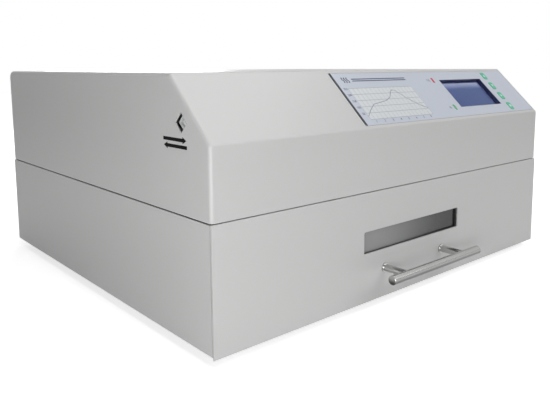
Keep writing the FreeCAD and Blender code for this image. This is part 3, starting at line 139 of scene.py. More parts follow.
class SharedEffects:
    """Shader node groups that several finishes use, each built once."""

    _built: Dict[str, bpy.types.NodeTree] = {}

    @classmethod
    def _start(cls, name: str, inputs: Sequence[Tuple[str, str, object]],
               outputs: Sequence[Tuple[str, str]]) -> Tuple[NodeWriter, bpy.types.Node, bpy.types.Node]:
        """Makes an empty group with its sockets.

        Args:
            name: the group's name.
            inputs: name, socket class and default of each input.
            outputs: name and socket class of each output.

        Returns:
            The writer, the group's input node and its output node.
        """
        tree = bpy.data.node_groups.new(name, "ShaderNodeTree")
        for label, kind, default in inputs:
            socket = tree.interface.new_socket(label, in_out="INPUT", socket_type=kind)
            socket.default_value = default
        for label, kind in outputs:
            tree.interface.new_socket(label, in_out="OUTPUT", socket_type=kind)
        writer = NodeWriter(tree)
        cls._built[name] = tree
        return writer, writer.add("NodeGroupInput"), writer.add("NodeGroupOutput")

    @classmethod
    def mottle(cls) -> bpy.types.NodeTree:
        """Slow colour and roughness drift with a fine surface texture.

        Returns:
            The group, with outputs Colour, Roughness and Height.
        """
        name = "mottle"
        if name in cls._built:
            return cls._built[name]
        writer, start, end = cls._start(
            name,
            [("Colour", "NodeSocketColor", (0.5, 0.5, 0.5, 1.0)), ("Drift", "NodeSocketFloat", 0.04),
             ("Roughness", "NodeSocketFloat", 0.4), ("Scale", "NodeSocketFloat", 6.0),
             ("Fine Scale", "NodeSocketFloat", 900.0)],
            [("Colour", "NodeSocketColor"), ("Roughness", "NodeSocketFloat"), ("Height", "NodeSocketFloat")])
        place = writer.add("ShaderNodeTexCoord").outputs["Object"]
        slow = writer.add("ShaderNodeTexNoise")
        slow.inputs["Detail"].default_value = 3.0
        fine = writer.add("ShaderNodeTexNoise")
        fine.inputs["Detail"].default_value = 2.0
        for node, socket in ((slow, "Scale"), (fine, "Fine Scale")):
            writer.link(place, node.inputs["Vector"])
            writer.link(start.outputs[socket], node.inputs["Scale"])
        swing = writer.math("SUBTRACT", slow.outputs["Fac"], 0.5)
        shift = writer.math("MULTIPLY", swing, start.outputs["Drift"])
        gain = writer.math("ADD", shift, 1.0)
        shade = writer.add("ShaderNodeVectorMath", operation="SCALE")
        writer.link(start.outputs["Colour"], shade.inputs[0])
        writer.link(gain, shade.inputs["Scale"])
        writer.link(shade.outputs["Vector"], end.inputs["Colour"])
        rough = writer.math("ADD", start.outputs["Roughness"], shift)
        writer.link(rough, end.inputs["Roughness"])
        writer.link(fine.outputs["Fac"], end.inputs["Height"])
        return cls._built[name]

    @classmethod
    def brush_lines(cls) -> bpy.types.NodeTree:
        """Fine lines along one axis, as left by an abrasive belt.

        Returns:
            The group, with outputs Colour, Roughness and Height.
        """
        name = "brush_lines"
        if name in cls._built:
            return cls._built[name]
        writer, start, end = cls._start(
            name,
            [("Colour", "NodeSocketColor", (0.6, 0.6, 0.6, 1.0)), ("Stretch", "NodeSocketVector", (1.0, 1.0, 1.0)),
             ("Scale", "NodeSocketFloat", 900.0), ("Contrast", "NodeSocketFloat", 0.25),
             ("Roughness", "NodeSocketFloat", 0.3)],
            [("Colour", "NodeSocketColor"), ("Roughness", "NodeSocketFloat"), ("Height", "NodeSocketFloat")])
        place = writer.add("ShaderNodeTexCoord").outputs["Object"]
        stretch = writer.add("ShaderNodeVectorMath", operation="MULTIPLY")
        writer.link(place, stretch.inputs[0])
        writer.link(start.outputs["Stretch"], stretch.inputs[1])
        lines = writer.add("ShaderNodeTexNoise")
        lines.inputs["Detail"].default_value = 3.0
        writer.link(stretch.outputs["Vector"], lines.inputs["Vector"])
        writer.link(start.outputs["Scale"], lines.inputs["Scale"])
        swing = writer.math("SUBTRACT", lines.outputs["Fac"], 0.5)
        shift = writer.math("MULTIPLY", swing, start.outputs["Contrast"])
        gain = writer.math("ADD", shift, 1.0)
        shade = writer.add("ShaderNodeVectorMath", operation="SCALE")
        writer.link(start.outputs["Colour"], shade.inputs[0])
        writer.link(gain, shade.inputs["Scale"])
        writer.link(shade.outputs["Vector"], end.inputs["Colour"])
        rough = writer.math("ADD", start.outputs["Roughness"], shift)
        writer.link(rough, end.inputs["Roughness"])
        writer.link(lines.outputs["Fac"], end.inputs["Height"])
        return cls._built[name]

    @classmethod
    def fade(cls) -> bpy.types.NodeTree:
        """Blend between two places along a direction.

        Returns:
            The group, with output Mask running from 0 at From to 1 at To.
        """
        name = "fade"
        if name in cls._built:
            return cls._built[name]
        writer, start, end = cls._start(
            name,
            [("Direction", "NodeSocketVector", (1.0, 0.0, 0.0)), ("From", "NodeSocketFloat", 0.0),
             ("To", "NodeSocketFloat", 1.0)],
            [("Mask", "NodeSocketFloat")])
        place = writer.add("ShaderNodeTexCoord").outputs["Object"]
        along = writer.add("ShaderNodeVectorMath", operation="DOT_PRODUCT")
        writer.link(place, along.inputs[0])
        writer.link(start.outputs["Direction"], along.inputs[1])
        ramp = writer.add("ShaderNodeMapRange", interpolation_type="SMOOTHSTEP")
        writer.link(along.outputs["Value"], ramp.inputs["Value"])
        writer.link(start.outputs["From"], ramp.inputs["From Min"])
        writer.link(start.outputs["To"], ramp.inputs["From Max"])
        writer.link(ramp.outputs["Result"], end.inputs["Mask"])
        return cls._built[name]


class Dressing:
    """Starts a material: its tree, its Principled shader and a writer."""

    def __init__(self, name: str) -> None:
        """Makes the material.

        Args:
            name: the material's name.
        """
        self.material = bpy.data.materials.new(name)
        self.material.use_nodes = True
        self.writer = NodeWriter(self.material.node_tree)
        self.shader = self.material.node_tree.nodes["Principled BSDF"]

    def effect(self, group: bpy.types.NodeTree, **values: object) -> bpy.types.Node:
        """Places a shared effect.

        Args:
            group: the node group.
            values: its inputs, with underscores for spaces.

        Returns:
            The group node.
        """
        node = self.writer.add("ShaderNodeGroup", node_tree=group)
        for key, value in values.items():
            node.inputs[key.replace("_", " ")].default_value = value
        return node

    def surface(self, node: bpy.types.Node, strength: float, distance: float) -> None:
        """Feeds a shared effect's colour, roughness and height to the shader.

        Args:
            node: the placed effect.
            strength: the bump's strength.
            distance: the bump's depth in metres.
        """
        self.writer.link(node.outputs["Colour"], self.shader.inputs["Base Color"])
        self.writer.link(node.outputs["Roughness"], self.shader.inputs["Roughness"])
        bump = self.writer.add("ShaderNodeBump")
        bump.inputs["Strength"].default_value = strength
        bump.inputs["Distance"].default_value = distance
        self.writer.link(node.outputs["Height"], bump.inputs["Height"])
        self.writer.link(bump.outputs["Normal"], self.shader.inputs["Normal"])


def opaque(colour: Colour) -> Tuple[float, float, float, float]:
    """Colour with full alpha."""
    return (colour[0], colour[1], colour[2], 1.0)


@dataclass(frozen=True)
class MottledFinish:
    """Paint, plastic, rubber, ceramic or board: a drifting colour with a fine texture."""

    name: str
    colour: Colour
    roughness: float = 0.45
    drift: float = 0.05
    scale: float = 6.0
    fine_scale: float = 900.0
    strength: float = 0.12
    depth: float = 0.00006
    specular: float = 0.5
    sheen: float = 0.0
    coat: float = 0.0

    def build(self) -> bpy.types.Material:
        """Makes the material."""
        dressing = Dressing(self.name)
        node = dressing.effect(SharedEffects.mottle(), Colour=opaque(self.colour), Drift=self.drift,
                               Roughness=self.roughness, Scale=self.scale, Fine_Scale=self.fine_scale)
        dressing.surface(node, self.strength, self.depth)
        dressing.shader.inputs["Specular IOR Level"].default_value = self.specular
        dressing.shader.inputs["Sheen Weight"].default_value = self.sheen
        dressing.shader.inputs["Coat Weight"].default_value = self.coat
        return dressing.material


@dataclass(frozen=True)
class BrushedFinish:
    """Bare metal with brush lines."""

    name: str
    colour: Colour
    direction: BrushDirection = BrushDirection.ALONG_X
    roughness: float = 0.32
    contrast: float = 0.22
    scale: float = 1400.0
    strength: float = 0.12
    depth: float = 0.00004

    def build(self) -> bpy.types.Material:
        """Makes the material."""
        dressing = Dressing(self.name)
        node = dressing.effect(SharedEffects.brush_lines(), Colour=opaque(self.colour), Stretch=self.direction.value,
                               Scale=self.scale, Contrast=self.contrast, Roughness=self.roughness)
        dressing.surface(node, self.strength, self.depth)
        dressing.shader.inputs["Metallic"].default_value = 1.0
        return dressing.material


@dataclass(frozen=True)
class BarFinish:
    """Polished bar whose darker underside is painted shade and a painted dark reflection."""

    name: str
    # upper is the bar's own colour; lower, below start along z, is painted shade and a painted dark reflection on its
    # underside.
    upper: Colour
    lower: Colour
    start: float
    end: float
    roughness: float = 0.22
    contrast: float = 0.14
    scale: float = 1400.0

    def build(self) -> bpy.types.Material:
        """Makes the material."""
        dressing = Dressing(self.name)
        mask = dressing.effect(SharedEffects.fade(), Direction=(0.0, 0.0, 1.0), From=self.start, To=self.end)
        mix = dressing.writer.add("ShaderNodeMix", data_type="RGBA")
        mix.inputs["A"].default_value = opaque(self.lower)
        mix.inputs["B"].default_value = opaque(self.upper)
        dressing.writer.link(mask.outputs["Mask"], mix.inputs["Factor"])
        node = dressing.effect(SharedEffects.brush_lines(), Stretch=BrushDirection.ALONG_X.value, Scale=self.scale,
                               Contrast=self.contrast, Roughness=self.roughness)
        dressing.writer.link(mix.outputs["Result"], node.inputs["Colour"])
        dressing.surface(node, 0.1, 0.00004)
        dressing.shader.inputs["Metallic"].default_value = 1.0
        return dressing.material


@dataclass(frozen=True)
class HazedGlassFinish:
    """Smoked oven glass with a painted reflection, pale at one end and fading to the dark glass towards the other."""

    name: str
    # The first colour is the dark glass; the second is a painted reflection, pale at the From end.
    clear: Colour
    haze: Colour
    direction: Tuple[float, float, float]
    start: float
    end: float
    roughness: float = 0.06
    transmission: float = 0.25

    def build(self) -> bpy.types.Material:
        """Makes the material."""
        dressing = Dressing(self.name)
        mask = dressing.effect(SharedEffects.fade(), Direction=self.direction, From=self.start, To=self.end)
        mix = dressing.writer.add("ShaderNodeMix", data_type="RGBA")
        mix.inputs["A"].default_value = opaque(self.haze)
        mix.inputs["B"].default_value = opaque(self.clear)
        dressing.writer.link(mask.outputs["Mask"], mix.inputs["Factor"])
        dressing.writer.link(mix.outputs["Result"], dressing.shader.inputs["Base Color"])
        dressing.shader.inputs["Roughness"].default_value = self.roughness
        dressing.shader.inputs["Transmission Weight"].default_value = self.transmission
        dressing.shader.inputs["IOR"].default_value = 1.5
        return dressing.material


@dataclass(frozen=True)
class ClearFinish:
    """Clear plastic or quartz."""

    name: str
    colour: Colour
    roughness: float = 0.03
    ior: float = 1.46
    transmission: float = 1.0
    ripple: float = 0.02
    specular: float = 0.5

    def build(self) -> bpy.types.Material:
        """Makes the material."""
        dressing = Dressing(self.name)
        node = dressing.effect(SharedEffects.mottle(), Colour=opaque(self.colour), Drift=self.ripple,
                               Roughness=self.roughness, Scale=30.0, Fine_Scale=200.0)
        dressing.surface(node, 0.02, 0.00002)
        dressing.shader.inputs["Specular IOR Level"].default_value = self.specular
        dressing.shader.inputs["Transmission Weight"].default_value = self.transmission
        dressing.shader.inputs["IOR"].default_value = self.ior
        return dressing.material


@dataclass(frozen=True)
class ScreenFinish:
    """Lit display panel: paler along its upper edge with a painted reflection, and a faint grain."""

    name: str
    low: Colour
    # high is the colour of the painted reflection along the upper edge.
    high: Colour
    direction: Tuple[float, float, float]
    start: float
    end: float
    glow: float = 0.42

    def build(self) -> bpy.types.Material:
        """Makes the material."""
        dressing = Dressing(self.name)
        writer = dressing.writer
        mask = dressing.effect(SharedEffects.fade(), Direction=self.direction, From=self.start, To=self.end)
        mix = writer.add("ShaderNodeMix", data_type="RGBA")
        mix.inputs["A"].default_value = opaque(self.low)
        mix.inputs["B"].default_value = opaque(self.high)
        writer.link(mask.outputs["Mask"], mix.inputs["Factor"])
        grain = dressing.effect(SharedEffects.mottle(), Drift=0.03, Roughness=0.25, Scale=500.0, Fine_Scale=1500.0)
        writer.link(mix.outputs["Result"], grain.inputs["Colour"])
        writer.link(grain.outputs["Colour"], dressing.shader.inputs["Base Color"])
        writer.link(grain.outputs["Colour"], dressing.shader.inputs["Emission Color"])
        dressing.shader.inputs["Emission Strength"].default_value = self.glow
        dressing.shader.inputs["Roughness"].default_value = 0.45
        dressing.shader.inputs["Specular IOR Level"].default_value = 0.15
        return dressing.material


class Finishes:
    """Every finish of the oven, with its material made once."""

    PAINT = MottledFinish("casing_paint", (0.585, 0.585, 0.582), 0.35, 0.012, 5.0, 1600.0, 0.08, 0.00004)
    # The handle's darker underside is painted shade and a painted dark reflection.
    HANDLE = BarFinish("handle_steel", (0.56, 0.56, 0.55), (0.11, 0.11, 0.11), 0.0390, 0.0455)
    POST = BrushedFinish("post_steel", (0.52, 0.52, 0.51), BrushDirection.ALONG_Y, 0.20, 0.16)
    ZINC = BrushedFinish("zinc_steel", (0.55, 0.57, 0.60), BrushDirection.ALONG_Y, 0.38, 0.25, 500.0)
    BRIGHT = BrushedFinish("bright_steel", (0.62, 0.62, 0.61), BrushDirection.ALONG_X, 0.36, 0.18, 700.0)
    MIRROR = BrushedFinish("bright_aluminium", (0.80, 0.81, 0.82), BrushDirection.ALONG_X, 0.16, 0.10, 700.0)
    ALUMINIUM = BrushedFinish("panel_aluminium", (0.50, 0.50, 0.52), BrushDirection.ALONG_X, 0.40, 0.15, 900.0)
    FAN_STEEL = BrushedFinish("fan_steel", (0.50, 0.50, 0.52), BrushDirection.ALONG_X, 0.35, 0.2, 600.0)
    WIRE = BrushedFinish("guard_wire", (0.62, 0.63, 0.65), BrushDirection.ALONG_X, 0.18, 0.08, 600.0)
    BRASS = BrushedFinish("contact_brass", (0.66, 0.55, 0.32), BrushDirection.ALONG_Y, 0.28, 0.15, 900.0)
    SOCKET = MottledFinish("socket_metal", (0.66, 0.68, 0.67), 0.35, 0.06, 60.0, 1500.0, 0.05, 0.00003, 0.7)
    RUBBER = MottledFinish("black_rubber", (0.014, 0.014, 0.014), 0.75, 0.2, 60.0, 1500.0, 0.3, 0.0001, 0.3)
    SEAL = MottledFinish("seal_rubber", (0.20, 0.065, 0.045), 0.6, 0.15, 40.0, 1500.0, 0.3, 0.0001, 0.35)
    FIBRE = MottledFinish("insulation_board", (0.72, 0.69, 0.62), 0.95, 0.18, 90.0, 700.0, 0.7, 0.0006, 0.1, 0.3)
    SLEEVE = MottledFinish("window_black", (0.055, 0.055, 0.058), 0.55, 0.1, 20.0, 1500.0, 0.15, 0.00005)
    CERAMIC = MottledFinish("white_ceramic", (0.74, 0.71, 0.64), 0.6, 0.1, 60.0, 1200.0, 0.25, 0.0001)
    PLASTIC = MottledFinish("black_plastic", (0.016, 0.016, 0.017), 0.42, 0.1, 30.0, 2200.0, 0.25, 0.00006)
    ROCKER = MottledFinish("rocker_plastic", (0.02, 0.02, 0.021), 0.28, 0.1, 30.0, 2200.0, 0.1, 0.00004)
    MOTOR = MottledFinish("motor_paint", (0.09, 0.09, 0.10), 0.4, 0.1, 30.0, 1500.0, 0.15, 0.00005)
    BOARD = MottledFinish("circuit_green", (0.02, 0.13, 0.055), 0.38, 0.15, 120.0, 600.0, 0.2, 0.00005)
    IRON = MottledFinish("core_iron", (0.12, 0.12, 0.13), 0.55, 0.2, 80.0, 900.0, 0.3, 0.0001)
    FILM = MottledFinish("overlay_film", (0.545, 0.585, 0.665), 0.34, 0.03, 10.0, 2600.0, 0.10, 0.00003)
    CHART = MottledFinish("chart_ground", (0.66, 0.69, 0.71), 0.36, 0.03, 20.0, 2600.0, 0.08, 0.00003)
    FRAME_NAVY = MottledFinish("display_frame", (0.030, 0.040, 0.115), 0.35, 0.05, 30.0, 1500.0, 0.1, 0.00004)
    KEY = MottledFinish("key_green", (0.085, 0.50, 0.30), 0.40, 0.06, 60.0, 2200.0, 0.15, 0.00004)
    MARK = MottledFinish("white_mark", (0.70, 0.70, 0.69), 0.5, 0.05, 80.0, 2200.0, 0.05, 0.00002)
    KEY_SIGN = MottledFinish("key_sign", (0.60, 0.80, 0.74), 0.4, 0.04, 60.0, 2200.0, 0.05, 0.00002)
    RED = MottledFinish("lamp_red", (0.60, 0.035, 0.06), 0.22, 0.08, 120.0, 900.0, 0.05, 0.00003, 0.5, 0.0, 0.6)
    GREEN = MottledFinish("lamp_green", (0.07, 0.42, 0.17), 0.22, 0.08, 120.0, 900.0, 0.05, 0.00003, 0.5, 0.0, 0.6)
    NAVY_INK = MottledFinish("navy_ink", (0.028, 0.040, 0.115), 0.42, 0.08, 80.0, 2200.0, 0.05, 0.00002)
    GREY_INK = MottledFinish("grey_ink", (0.20, 0.23, 0.29), 0.42, 0.08, 80.0, 2200.0, 0.05, 0.00002)
    LINE_INK = MottledFinish("grid_ink", (0.36, 0.39, 0.44), 0.42, 0.06, 80.0, 2200.0, 0.05, 0.00002)
    BLACK_INK = MottledFinish("black_ink", (0.006, 0.006, 0.006), 0.8, 0.1, 80.0, 2200.0, 0.05, 0.00002, 0.1)
    LENS = ClearFinish("display_lens", (0.93, 0.95, 1.0), ior=1.14, specular=0.15)
    QUARTZ = ClearFinish("quartz", (0.86, 0.84, 0.80), 0.12, 1.46, 0.55)
    # The window glass is dark; its pale left end is a painted reflection.
    WINDOW = HazedGlassFinish("window_glass", (0.016, 0.016, 0.017), (0.37, 0.37, 0.375), (1.0, 0.0, 0.0),
                              -0.075, 0.085)

    _made: Dict[str, bpy.types.Material] = {}

    @classmethod
    def get(cls, finish: object) -> bpy.types.Material:
        """Material of a finish, made on first use.

        Args:
            finish: one of the finish dataclasses.

        Returns:
            Its material.
        """
        if finish.name not in cls._made:
            cls._made[finish.name] = finish.build()
        return cls._made[finish.name]


def deselect_all() -> None:
    """Leaves nothing selected and no object active in edit mode."""
    if bpy.context.object and bpy.context.object.mode != "OBJECT":
        bpy.ops.object.mode_set(mode="OBJECT")
    bpy.ops.object.select_all(action="DESELECT")


def settle(piece: bpy.types.Object, place: Matrix) -> None:
    """Puts a piece's place into its mesh and its object at the origin.

    Args:
        piece: the finished object.
        place: where its own frame goes in the oven's frame.
    """
    deselect_all()
    piece.matrix_world = place @ piece.matrix_world
    piece.select_set(True)
    bpy.context.view_layer.objects.active = piece
    bpy.ops.object.transform_apply(location=True, rotation=True, scale=True)


def join(name: str, pieces: Sequence[bpy.types.Object]) -> bpy.types.Object:
    """Joins several mesh objects into one.

    Args:
        name: the name of the joined piece.
        pieces: the objects to join.

    Returns:
        The joined object.
    """
    deselect_all()
    for piece in pieces:
        piece.select_set(True)
    bpy.context.view_layer.objects.active = pieces[0]
    if len(pieces) > 1:
        bpy.ops.object.join()
    joined = bpy.context.view_layer.objects.active
    joined.name = name
    joined.data.name = name
    return joined


def add_slab(name: str, centre: Sequence[float], size: Sequence[float], edge: float = 0.0) -> bpy.types.Object:
    """Models a block, with all its edges eased where a radius is given.

    Args:
        name: the piece's name.
        centre: its middle.
        size: its three lengths.
        edge: the radius on all its edges, or 0 for none.

    Returns:
        The object.
    """
    deselect_all()
    bpy.ops.mesh.primitive_cube_add(size=1.0)
    piece = bpy.context.object
    piece.name = name
    bpy.ops.object.mode_set(mode="EDIT")
    bpy.ops.mesh.select_all(action="SELECT")
    bpy.ops.transform.resize(value=size)
    bpy.ops.transform.translate(value=centre)
    if edge > 0:
        bpy.ops.mesh.bevel(offset=edge, segments=3, affect="EDGES")
    bpy.ops.object.mode_set(mode="OBJECT")
    return piece


def add_ring(name: str, low: Sequence[float], high: Sequence[float], wall: float) -> bpy.types.Object:
    """Models a rectangular sleeve by insetting a plane and raising what is left.

    Args:
        name: the piece's name.
        low: its lowest corner.
        high: its highest corner.
        wall: the thickness of its wall.

    Returns:
        The object.
    """
    deselect_all()
    bpy.ops.mesh.primitive_plane_add(size=1.0)
    piece = bpy.context.object
    piece.name = name
    bpy.ops.object.mode_set(mode="EDIT")
    bpy.ops.mesh.select_all(action="SELECT")
    bpy.ops.transform.resize(value=(high[0] - low[0], high[1] - low[1], 1.0))
    bpy.ops.transform.translate(value=((low[0] + high[0]) / 2, (low[1] + high[1]) / 2, low[2]))
    bpy.ops.mesh.inset(thickness=wall)
    bpy.ops.mesh.delete(type="FACE")
    bpy.ops.mesh.select_all(action="SELECT")
    bpy.ops.mesh.extrude_region_move(TRANSFORM_OT_translate={"value": (0.0, 0.0, high[2] - low[2])})
    bpy.ops.mesh.select_all(action="SELECT")
    bpy.ops.mesh.normals_make_consistent(inside=False)
    bpy.ops.object.mode_set(mode="OBJECT")
    return piece


def add_outline(name: str, corners: Sequence[Point2], low: float, thickness: float) -> bpy.types.Object:
    """Models a flat sign of any convex outline by extruding a circle's face.

    Args:
        name: the piece's name.
        corners: its outline, anticlockwise.
        low: the level of its underside.
        thickness: how thick it is.

    Returns:
        The object.
    """
    deselect_all()
    bpy.ops.mesh.primitive_circle_add(vertices=len(corners), radius=1.0, fill_type="NGON")
    piece = bpy.context.object
    piece.name = name
    for vertex, corner in zip(piece.data.vertices, corners):
        vertex.co = (corner[0], corner[1], low)
    bpy.ops.object.mode_set(mode="EDIT")
    bpy.ops.mesh.select_all(action="SELECT")
    bpy.ops.mesh.extrude_region_move(TRANSFORM_OT_translate={"value": (0.0, 0.0, thickness)})
    bpy.ops.mesh.select_all(action="SELECT")
    bpy.ops.mesh.normals_make_consistent(inside=False)
    bpy.ops.object.mode_set(mode="OBJECT")
    return piece


def add_ribbon(name: str, points: Sequence[Point2], width: float, low: float, thickness: float) -> bpy.types.Object:
    """Models a printed line along points as a row of short overlapping strokes joined in one mesh.

    Args:
        name: the piece's name.
        points: the line's corners.
        width: its width.
        low: the level of its underside.
        thickness: how thick it is.

    Returns:
        The object.
    """
    strokes = []
    for start, end in zip(points, points[1:]):
        run = Vector((end[0] - start[0], end[1] - start[1]))
        side = Vector((-run.y, run.x)).normalized() * (width / 2)
        reach = run.normalized() * (width / 4)
        first = Vector(start) - reach
        last = Vector(end) + reach
        corners = [tuple(first - side), tuple(last - side), tuple(last + side), tuple(first + side)]
        strokes.append(add_outline(name, corners, low, thickness))
    return join(name, strokes)


def add_number(name: str, words: str, centre: Point2, height: float, low: float, thickness: float) -> bpy.types.Object:
    """Models a printed number.

    Args:
        name: the piece's name.
        words: the digits.
        centre: the middle of the number.
        height: the height of its digits.
        low: the level of its underside.
        thickness: how thick it is.

    Returns:
        The object, as a mesh.
    """
    deselect_all()
    bpy.ops.object.text_add()
    piece = bpy.context.object
    piece.name = name
    piece.data.body = words
    piece.data.size = height * 1.4
    piece.data.align_x = "CENTER"
    piece.data.align_y = "CENTER"
    piece.data.extrude = thickness / 2
    piece.data.resolution_u = 3
    piece.location = (centre[0], centre[1], low + thickness / 2)
    bpy.ops.object.convert(target="MESH")
    bpy.ops.object.transform_apply(location=True, rotation=True, scale=True)
    return bpy.context.object


def finish_piece(piece: bpy.types.Object, finish: object, body: str) -> None:
    """Dresses a new piece and fixes it to a body.

    Args:
        piece: the object.
        finish: its finish.
        body: the body that it rides on.
    """
    piece.data.materials.clear()
    piece.data.materials.append(Finishes.get(finish))
    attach(piece, body)
    LOG.info("piece %s rides on %s", piece.name, body)


@dataclass
class NodeDresser:
    """Gives carried-over solids their finishes."""

    nodes: Dict[str, bpy.types.Object]

    def dress(self, finish: object, names: Sequence[str]) -> None:
        """Puts one finish on several nodes.

        Args:
            finish: the finish.
            names: the nodes.
        """
        material = Finishes.get(finish)
        for name in names:
            piece = self.nodes[name]
            for slot in piece.material_slots:
                slot.material = material
            LOG.info("node %s has finish %s", name, finish.name)


@dataclass
class ControlFace:
    """The sloped face: printed film, chart, lamps, keys and display."""

    nodes: Dict[str, bpy.types.Object]
    angle: float
    film: float = 0.3 * MM
    ink: float = 0.06 * MM
    lift: float = 0.01 * MM
    chart_left: float = 13.0 * MM
    chart_right: float = 128.0 * MM
    chart_low: float = 8.0 * MM
    chart_high: float = 56.0 * MM
    chart_columns: int = 8
    chart_rows: int = 5
    chart_parts: int = 2
    # Width of the black strip of painted shade along the film's left edge.
    border_width: float = 1.5 * MM
    border_edge: float = 0.02 * MM
    line_width: float = 0.55 * MM
    fine_width: float = 0.25 * MM
    curve_width: float = 0.7 * MM
    number_height: float = 3.2 * MM
    lens_lap: float = 4.0 * MM
    bezel_wall: float = 0.5 * MM
    screen_margin_left: float = 4.0 * MM
    screen_margin_right: float = 6.5 * MM
    screen_margin_v: float = 3.2 * MM
    screen_thickness: float = 0.4 * MM
    screen_edge: float = 0.15 * MM
    screen_drop: float = 0.05 * MM
    # Where the band of painted reflection runs, below and above the screen's upper edge.
    band_foot: float = 13.0 * MM
    band_head: float = 1.0 * MM
    heading_drop: float = 15.5 * MM
    heading_height: float = 8.0 * MM
    heading_stroke: float = 1.4 * MM
    wave_count: int = 3
    wave_start: float = 1.5 * MM
    wave_pitch: float = 4.0 * MM
    wave_steps: int = 12
    wave_sway: float = 0.14
    rule_start: float = 16.0 * MM
    rule_levels: Tuple[float, float] = (2.4 * MM, 5.4 * MM)
    rule_stroke: float = 1.5 * MM
    lamp_sign_gap: float = 4.0 * MM
    lamp_sign_pitch: float = 2.4 * MM
    lamp_sign_height: float = 4.4 * MM
    lamp_sign_stroke: float = 0.6 * MM
    frost_gap: float = 6.4 * MM
    frost_arm: float = 2.4 * MM
    sign_sink: float = 0.02 * MM
    sign_thickness: float = 0.07 * MM
    sign_size: float = 5.0 * MM
    key_order: Tuple[KeySign, ...] = (KeySign.UP, KeySign.DOWN, KeySign.RUN, KeySign.STOP)
    origin: Vector = field(init=False)
    width: float = field(init=False)
    height: float = field(init=False)

    def __post_init__(self) -> None:
        """Finds the printed film's plane from its box."""
        low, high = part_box("panel_overlay")
        run = (high[1] - self.film * math.sin(self.angle) - low[1]) / math.cos(self.angle)
        self.origin = Vector((low[0], low[1], high[2] - run * math.sin(self.angle)))
        self.width = high[0] - low[0]
        self.height = run

    @property
    def place(self) -> Matrix:
        """Where the face's own u, v, w go in the oven's frame."""
        return Matrix.Translation(self.origin) @ Matrix.Rotation(self.angle, 4, "X")

    @property
    def rise(self) -> Tuple[float, float, float]:
        """Direction up the slope."""
        return (0.0, math.cos(self.angle), math.sin(self.angle))

    def local(self, name: str) -> Tuple[Vector, Vector]:
        """A node's lowest and highest corners in u, v, w.

        Args:
            name: the node.

        Returns:
            The two corners.
        """
        inverse = self.place.inverted()
        points = [inverse @ vertex.co for vertex in self.nodes[name].data.vertices]
        low = Vector([min(point[axis] for point in points) for axis in range(3)])
        high = Vector([max(point[axis] for point in points) for axis in range(3)])
        return low, high

    def print_piece(self, piece: bpy.types.Object, finish: object) -> None:
        """Lays a printed piece on the film."""
        settle(piece, self.place)
        finish_piece(piece, finish, Body.CASING.value)

    def build_chart(self) -> None:
        """Prints the chart's ground, grid, numbers and temperature curve."""
        wide = self.chart_right - self.chart_left
        tall = self.chart_high - self.chart_low
        middle = ((self.chart_left + self.chart_right) / 2, (self.chart_low + self.chart_high) / 2)
        ink_middle = self.lift + self.ink / 2
        ground = add_slab("chart_ground", (middle[0], middle[1], ink_middle), (wide, tall, self.ink), self.border_edge)
        self.print_piece(ground, Finishes.CHART)
        # A black strip along the film's left edge is painted shade, standing for the dark gap at that edge.
        border = add_slab("film_shade_strip", (self.border_width / 2, self.height / 2, ink_middle),
                          (self.border_width, self.height, self.ink), self.border_edge)
        self.print_piece(border, Finishes.BLACK_INK)
        level = self.lift + self.ink * 1.1
        lines = []
        for row in range(self.chart_rows + 1):
            v = self.chart_low + tall * row / self.chart_rows
            lines.append(add_slab("grid", (middle[0], v, level + self.ink / 2), (wide, self.line_width, self.ink)))
        for column in range(self.chart_columns * self.chart_parts + 1):
            u = self.chart_left + wide * column / (self.chart_columns * self.chart_parts)
            lines.append(add_slab("grid", (u, middle[1], level + self.ink / 2), (self.fine_width, tall, self.ink)))
        self.print_piece(join("chart_grid", lines), Finishes.LINE_INK)
        shares = [(0.0, 0.10), (0.10, 0.30), (0.20, 0.46), (0.42, 0.55), (0.52, 0.66), (0.60, 0.86), (0.64, 0.90),
                  (0.68, 0.86), (0.78, 0.58), (0.90, 0.34), (1.0, 0.22)]
        points = [(self.chart_left + wide * u, self.chart_low + tall * v) for u, v in shares]
        curve = add_ribbon("chart_curve", points, self.curve_width, level + self.ink * 1.2, self.ink)
        self.print_piece(curve, Finishes.GREY_INK)
        numbers = []
        for row in range(1, self.chart_rows + 1):
            v = self.chart_low + tall * row / self.chart_rows - self.number_height * 0.2
            words = str(50 * row)
            spot = (self.chart_left - self.number_height * 1.5, v)
            numbers.append(add_number("number", words, spot, self.number_height, self.lift, self.ink))
        for column in range(1, self.chart_columns + 1):
            u = self.chart_left + wide * column / self.chart_columns - wide / self.chart_columns / 2
            spot = (u, self.chart_low - self.number_height)
            numbers.append(add_number("number", str(column), spot, self.number_height, self.lift, self.ink))
        self.print_piece(join("chart_numbers", numbers), Finishes.NAVY_INK)

    def wave(self, u: float, v: float, height: float) -> List[Point2]:
        """Points of one heat wave sign.

        Args:
            u: its middle across.
            v: its foot.
            height: how tall it is.

        Returns:
            The points.
        """
        steps = self.wave_steps
        sway = height * self.wave_sway
        turns = [2 * math.pi * step / steps for step in range(steps + 1)]
        return [(u + sway * math.sin(turn), v + height * turn / (2 * math.pi)) for turn in turns]

